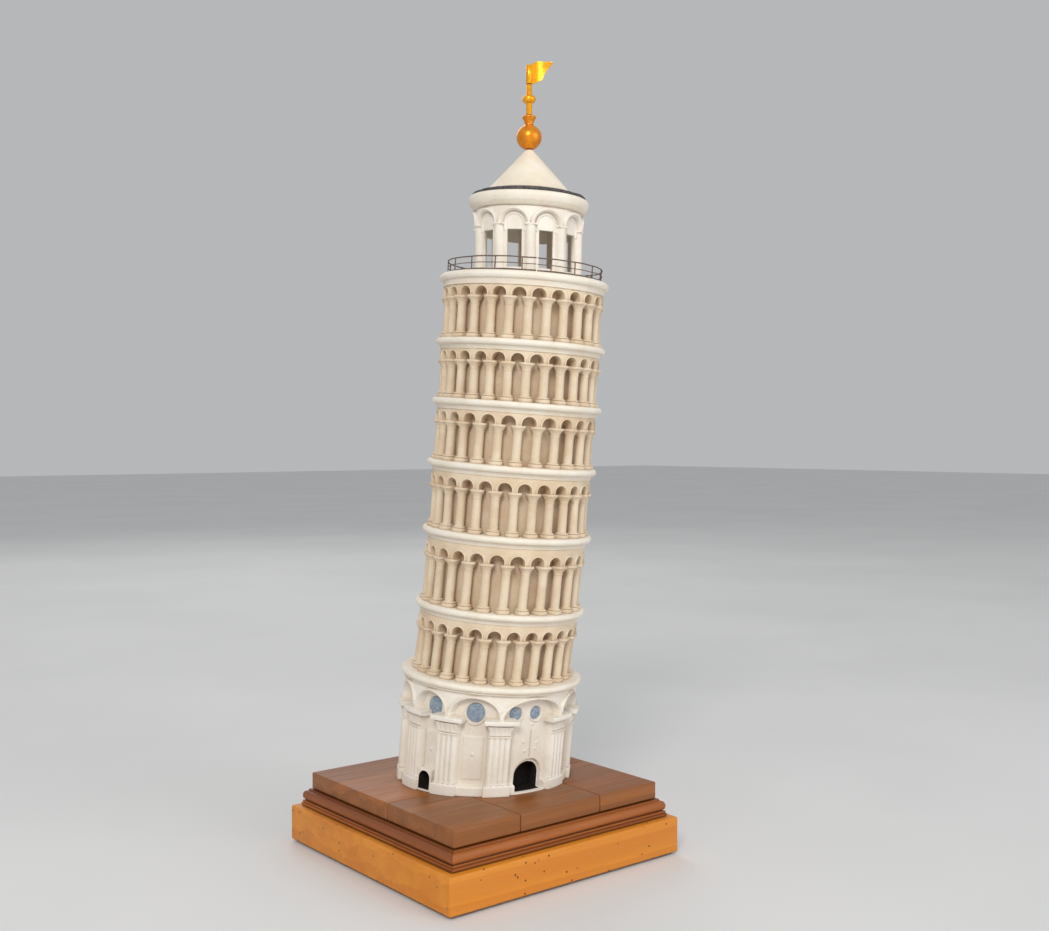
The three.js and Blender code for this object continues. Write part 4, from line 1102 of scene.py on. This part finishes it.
def belfry_reach(polar, z):
    """How far the belfry's face stands from its axis, by polar angle and height."""
    step = 360 / BELFRY_BAYS
    from_pier = (polar - BELFRY_PHASE + step / 2) % step - step / 2
    from_bay = (polar - BELFRY_PHASE) % step - step / 2
    pier_s = np.radians(from_pier) * BELFRY_WALL
    s = np.radians(from_bay) * BELFRY_WALL
    outer, rib, spring = BELFRY_ARCH["outer"], BELFRY_ARCH["rib"], BELFRY_ARCH["spring"]
    ring = np.where(z > spring, np.hypot(s, z - spring), np.abs(s))
    sunk = soft(ring - (outer - rib), 0.5)
    reach = BELFRY_WALL - 1.1 * sunk
    order = np.clip(1 - (np.abs(ring - 4.4) / 0.5) ** 2, 0, 1) ** 0.5 * soft(spring - 3.0 - z, 0.5)
    reach = np.maximum(reach, BELFRY_WALL - 1.1 + 0.7 * order * (order > 0))
    band = np.clip(1 - (np.abs(ring - outer + rib / 2) / (rib / 2)) ** 2, 0, 1) ** 0.5
    band = band * soft(spring - 0.4 - z, 0.6)
    start = BELFRY_WALL - 0.5
    raised = start + (BELFRY_ARCH["reach"] - start) * band
    reach = np.where(band > 0.02, np.maximum(reach, raised), reach)
    round_pier = PIER["circle"] + np.sqrt(np.clip(PIER["radius"] ** 2 - pier_s ** 2, 0, None))
    upright = (np.abs(pier_s) < PIER["radius"]) & (z < PIER["top"])
    reach = np.where(upright, np.maximum(reach, round_pier * soft(z - PIER["top"] + 0.6, 1.2)), reach)
    foot = soft(np.abs(pier_s) - 2.6, 0.4) * soft(z - 1.6, 0.4)
    head = soft(np.abs(pier_s) - 2.6, 0.4) * soft(np.abs(z - PIER["top"] + 0.9) - 0.6, 0.4)
    return np.maximum(reach, np.maximum(foot, head) * (BELFRY_WALL + 1.4))


def window_cutters():
    """Ten upright blocks through the belfry wall, as one mesh."""
    form = Form()
    half = WINDOW["width"] / 2
    low, high = WINDOW["sill"], WINDOW["sill"] + WINDOW["height"]
    step = 360 / BELFRY_BAYS
    for bay in range(BELFRY_BAYS):
        polar = math.radians(BELFRY_PHASE + (bay + 0.5) * step)
        turn = Matrix.Rotation(polar, 4, "Z")
        corners = []
        for near in (BELFRY_INNER - 4, BELFRY_WALL + 5):
            corners += [(near, -half, low), (near, half, low), (near, half, high), (near, -half, high)]
        points = [tuple(turn @ Vector(corner)) for corner in corners]
        form.add(points, [(3, 2, 1, 0), (4, 5, 6, 7), (0, 1, 5, 4), (1, 2, 6, 5), (2, 3, 7, 6), (3, 0, 4, 7)])
    return form.make("window_cutters", on_terrace, [IVORY], sharp=30)


def make_belfry():
    columns, rows = BELFRY_GRID
    polar = np.linspace(0, 360, columns, endpoint=False)
    share = np.linspace(0, 1, rows)[:, None]
    top = BELFRY_HEIGHT - 0.05
    z = np.broadcast_to(0.06 + (top - 0.06) * share, (rows, columns))
    grid = np.broadcast_to(polar[None, :], z.shape)
    outer = round_points(belfry_reach(grid, z), grid, z)
    inner_rows = 2
    inner_z = np.stack([z[-1], z[0]])
    inner_grid = np.broadcast_to(polar[None, :], inner_z.shape)
    inner = round_points(BELFRY_INNER, inner_grid, inner_z)
    faces = grid_faces(rows + inner_rows, columns)
    faces += closing_faces((rows + inner_rows - 1) * columns, columns)
    form = Form()
    points = np.concatenate([outer, inner])
    # Painted shade on the wall's inner face.
    form.add(points, faces, np.concatenate([np.zeros(len(outer)), np.full(len(inner), 0.35)]))
    wall = form.make("belfry_drum", on_terrace, [IVORY], sharp=60)
    cut_away(wall, window_cutters())
    belongs(wall, ["belfry_wall"])
    middle = BELFRY_TOP - BELFRY_CORNICE["roll"] / 2
    make_cornice("belfry_cornice", on_terrace, BELFRY_CORNICE, middle, SEED + 9, bowl_profile)


# ---- Roof and finial ----

def make_roof_plate():
    thick, radius = ROOF["thick"], ROOF["plate"]
    profile = [(0, 0.06), (radius - 0.4, 0.06), (radius, 0.3), (radius - 0.1, 0.9), (radius - 0.5, 1.2)]
    profile += [(radius - 1.5, 1.5), (radius - 3, thick - 0.2), (radius - 4, thick), (0, thick)]
    points, faces = revolve(profile, 220)
    rng = np.random.default_rng(SEED + 70)
    turn = np.arctan2(points[:, 1], points[:, 0])
    ragged = np.zeros(len(points))
    for harmonic in (3, 7, 13, 22, 37, 54, 71):
        wave = rng.uniform(0.4, 1) * np.sin(harmonic * turn + rng.uniform(0, 6.28) + 0.6 * points[:, 2])
        ragged += wave / harmonic ** 0.4
    rim = np.hypot(points[:, 0], points[:, 1]) > radius - 2
    points[:, 0] *= 1 + 0.0045 * ragged * rim
    points[:, 1] *= 1 + 0.0045 * ragged * rim
    points[:, 2] += np.where(rim & (points[:, 2] > 0.5), 0.16 * ragged, 0) + BELFRY_TOP
    form = Form()
    form.add(points, faces)
    belongs(form.make("roof_sheet", on_terrace, [LEAD], sharp=50), ["roof_plate"])


def make_roof_cone():
    foot = CONE_FOOT + 0.08
    top = CONE_TOP
    wide, tip = ROOF["cone"], ROOF["tip"]
    profile = [(0, foot), (wide - 0.5, foot), (wide - 0.05, foot + 0.15), (wide, foot + 0.5)]
    for share in np.linspace(0.06, 1, 9):
        radius = wide + (tip + 1.3 - wide) * share
        profile.append((radius, foot + (top - 1.9 - foot) * share))
    profile += [(tip + 0.7, top - 1.2), (tip + 0.25, top - 0.6), (tip + 0.05, top - 0.2)]
    profile += [(tip - 0.3, top), (0, top)]
    points, faces = revolve(profile, 128)
    form = Form()
    form.add(uneven(points, 0.08, wide, SEED + 80), faces)
    belongs(form.make("spire_cone", on_terrace, [CREAM], sharp=50), ["roof_cone"])


def make_finial_socket():
    ball, cup, neck = FINIAL["ball"], FINIAL["cup"], FINIAL["neck"]
    profile = [(0, 0)]
    profile += arc_points((0, BALL_MIDDLE), ball, -73.7, 68, 30)
    profile += [(neck, CUP_FOOT - 0.1), (neck - 0.1, CUP_FOOT + 0.4), (neck + 0.1, CUP_FOOT + 1.0)]
    profile += [(cup - 0.75, CUP_TOP - 2.0), (cup - 0.35, CUP_TOP - 1.6)]
    profile += arc_points((cup - 0.6, CUP_TOP - 0.75), 0.6, -60, 90, 9)
    profile += [(cup - 1.1, CUP_TOP - 0.2), (FINIAL["bore"] + 0.1, CUP_TOP - 0.35)]
    profile += [(FINIAL["bore"], CUP_TOP - 0.6), (FINIAL["bore"], CUP_TOP - FINIAL["deep"])]
    profile += [(0, CUP_TOP - FINIAL["deep"])]
    points, faces = revolve(profile, 64)
    form = Form()
    form.add(points, faces)
    belongs(form.make("finial_ball_and_cup", on_finial, [DEEP_GOLD], sharp=45), ["finial_socket"])


def make_mast():
    foot = CUP_TOP - FINIAL["deep"] + GAP
    bead, half = CUP_TOP + VANE["bead_rise"], VANE["bead_tall"] / 2
    mast, wide = VANE["mast"], VANE["bead"]
    profile = [(0, foot), (mast - 0.2, foot), (mast, foot + 0.2), (mast, bead - half - 0.15)]
    core, end = mast * 0.35, 68
    for angle in np.linspace(-end, end, 15):
        a = math.radians(angle)
        height = bead + half * math.sin(a) / math.sin(math.radians(end))
        profile.append((core + (wide - core) * math.cos(a), height))
    top, pin, pin_top = CUP_TOP + VANE["rise"], VANE["pin"], CUP_TOP + VANE["pin_rise"]
    profile += [(mast, bead + half + 0.15), (mast, top - 0.15), (mast - 0.15, top), (pin, top)]
    profile += [(pin, pin_top - 0.2), (pin - 0.2, pin_top), (0, pin_top)]
    points, faces = revolve(profile, 48)
    form = Form()
    form.add(points, faces)
    piece = form.make("mast_and_bead", on_finial, [GOLD], sharp=45)
    belongs(piece, ["vane_mast"], "vane")


def flag_edge(x):
    """Lowest and highest point of the flag at a distance from the mast's axis."""
    return CUP_TOP + np.interp(x, *FLAG_LOWER), CUP_TOP + np.interp(x, *FLAG_UPPER)


def make_flag():
    across, up = 40, 22
    start = FLAG["bore"] + 0.1
    shares = np.linspace(0, 1, across)
    front, back = [], []
    for u in shares:
        x = start + (FLAG["length"] - start) * u
        bend = FLAG["wave"] * math.sin(x / FLAG["length"] * math.pi * FLAG["turns"])
        bottom, top = flag_edge(x)
        for v in np.linspace(0, 1, up):
            z = bottom + (top - bottom) * v
            swing = bend + 0.25 * u * math.sin(2.2 * v + 3 * u)
            thick = FLAG["thick"] / 2 * (0.75 + 0.25 * math.cos(u * 2.2)) * (0.55 if u == 1 else 1)
            front.append((x, swing - thick, z))
            back.append((x, swing + thick, z))
    count = len(front)
    faces = grid_faces(across, up, wrap=False)
    faces += [tuple(count + at for at in reversed(face)) for face in faces]
    rim = list(range(up)) + [column * up + up - 1 for column in range(1, across)]
    rim += [(across - 1) * up + row for row in range(up - 2, -1, -1)]
    rim += [column * up for column in range(across - 2, 0, -1)]
    for index, at in enumerate(rim):
        beside = rim[(index + 1) % len(rim)]
        faces.append((at, beside, count + beside, count + at))
    form = Form()
    form.add(front + back, faces)
    low, high = CUP_TOP + FLAG["low"], CUP_TOP + FLAG["high"]
    sleeve, bore = FLAG["sleeve"] - 0.05, VANE["pin"] + 0.06
    ring = [(bore, low), (sleeve - 0.15, low), (sleeve, low + 0.15)]
    ring += [(sleeve, high - 0.3), (sleeve - 0.2, high - 0.1), (bore, high - 0.1)]
    sides = 36
    angle = np.linspace(0, 2 * np.pi, sides, endpoint=False)
    points = [(r * math.cos(a), r * math.sin(a), z) for r, z in ring for a in angle]
    form.add(points, grid_faces(len(ring), sides) + closing_faces((len(ring) - 1) * sides, sides))
    turn = Matrix.Rotation(math.radians(FLAG["polar"]), 4, "Z")
    form.points = [moved(points, turn) for points in form.points]
    piece = form.make("waving_flag", on_finial, [GOLD], sharp=55)
    belongs(piece, ["vane_flag"], "vane")


# ---- Floor and the CAD nodes that stay ----

def make_floor():
    s = Shader("pale_floor", specular=0.3)
    place = s.place()
    cloud = s.noise(place, 0.004, 3)
    body = s.mix(s.span(cloud, 0.3, 0.7), (0.72, 0.72, 0.715), (0.76, 0.76, 0.755))
    material = s.finish(body, s.span(cloud, 0.3, 0.7, 0.6, 0.7), s.bump(s.noise(place, 0.3, 4), 0.05, 0.2))
    mesh = bpy.data.meshes.new("floor")
    far = FLOOR_REACH
    mesh.from_pydata([(-far, -far, 0), (far, -far, 0), (far, far, 0), (-far, far, 0)], [], [(0, 1, 2, 3)])
    mesh.materials.append(material)
    floor = bpy.data.objects.new("floor", mesh)
    bpy.context.collection.objects.link(floor)


def paint_kept_nodes():
    """Gives the CAD nodes that stay in the model their finished materials."""
    finishes = {"base_felt": FELT, "infill_panel": PANEL}
    for name in ("tie_rod", "lower_washer", "lower_nut", "upper_washer", "upper_nut"):
        finishes[name] = STEEL
    for index in range(1, 5):
        finishes[f"base_screw_{index}"] = STEEL
    for name, material in finishes.items():
        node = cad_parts[name]
        node.data.materials.clear()
        node.data.materials.append(material)


make_camera()
make_lights()
make_floor()
paint_kept_nodes()
make_base_boards()
make_mouldings()
make_ground_storey()
make_roundels()
make_galleries()
make_railing()
make_belfry()
make_roof_plate()
make_roof_cone()
make_finial_socket()
make_mast()
make_flag()
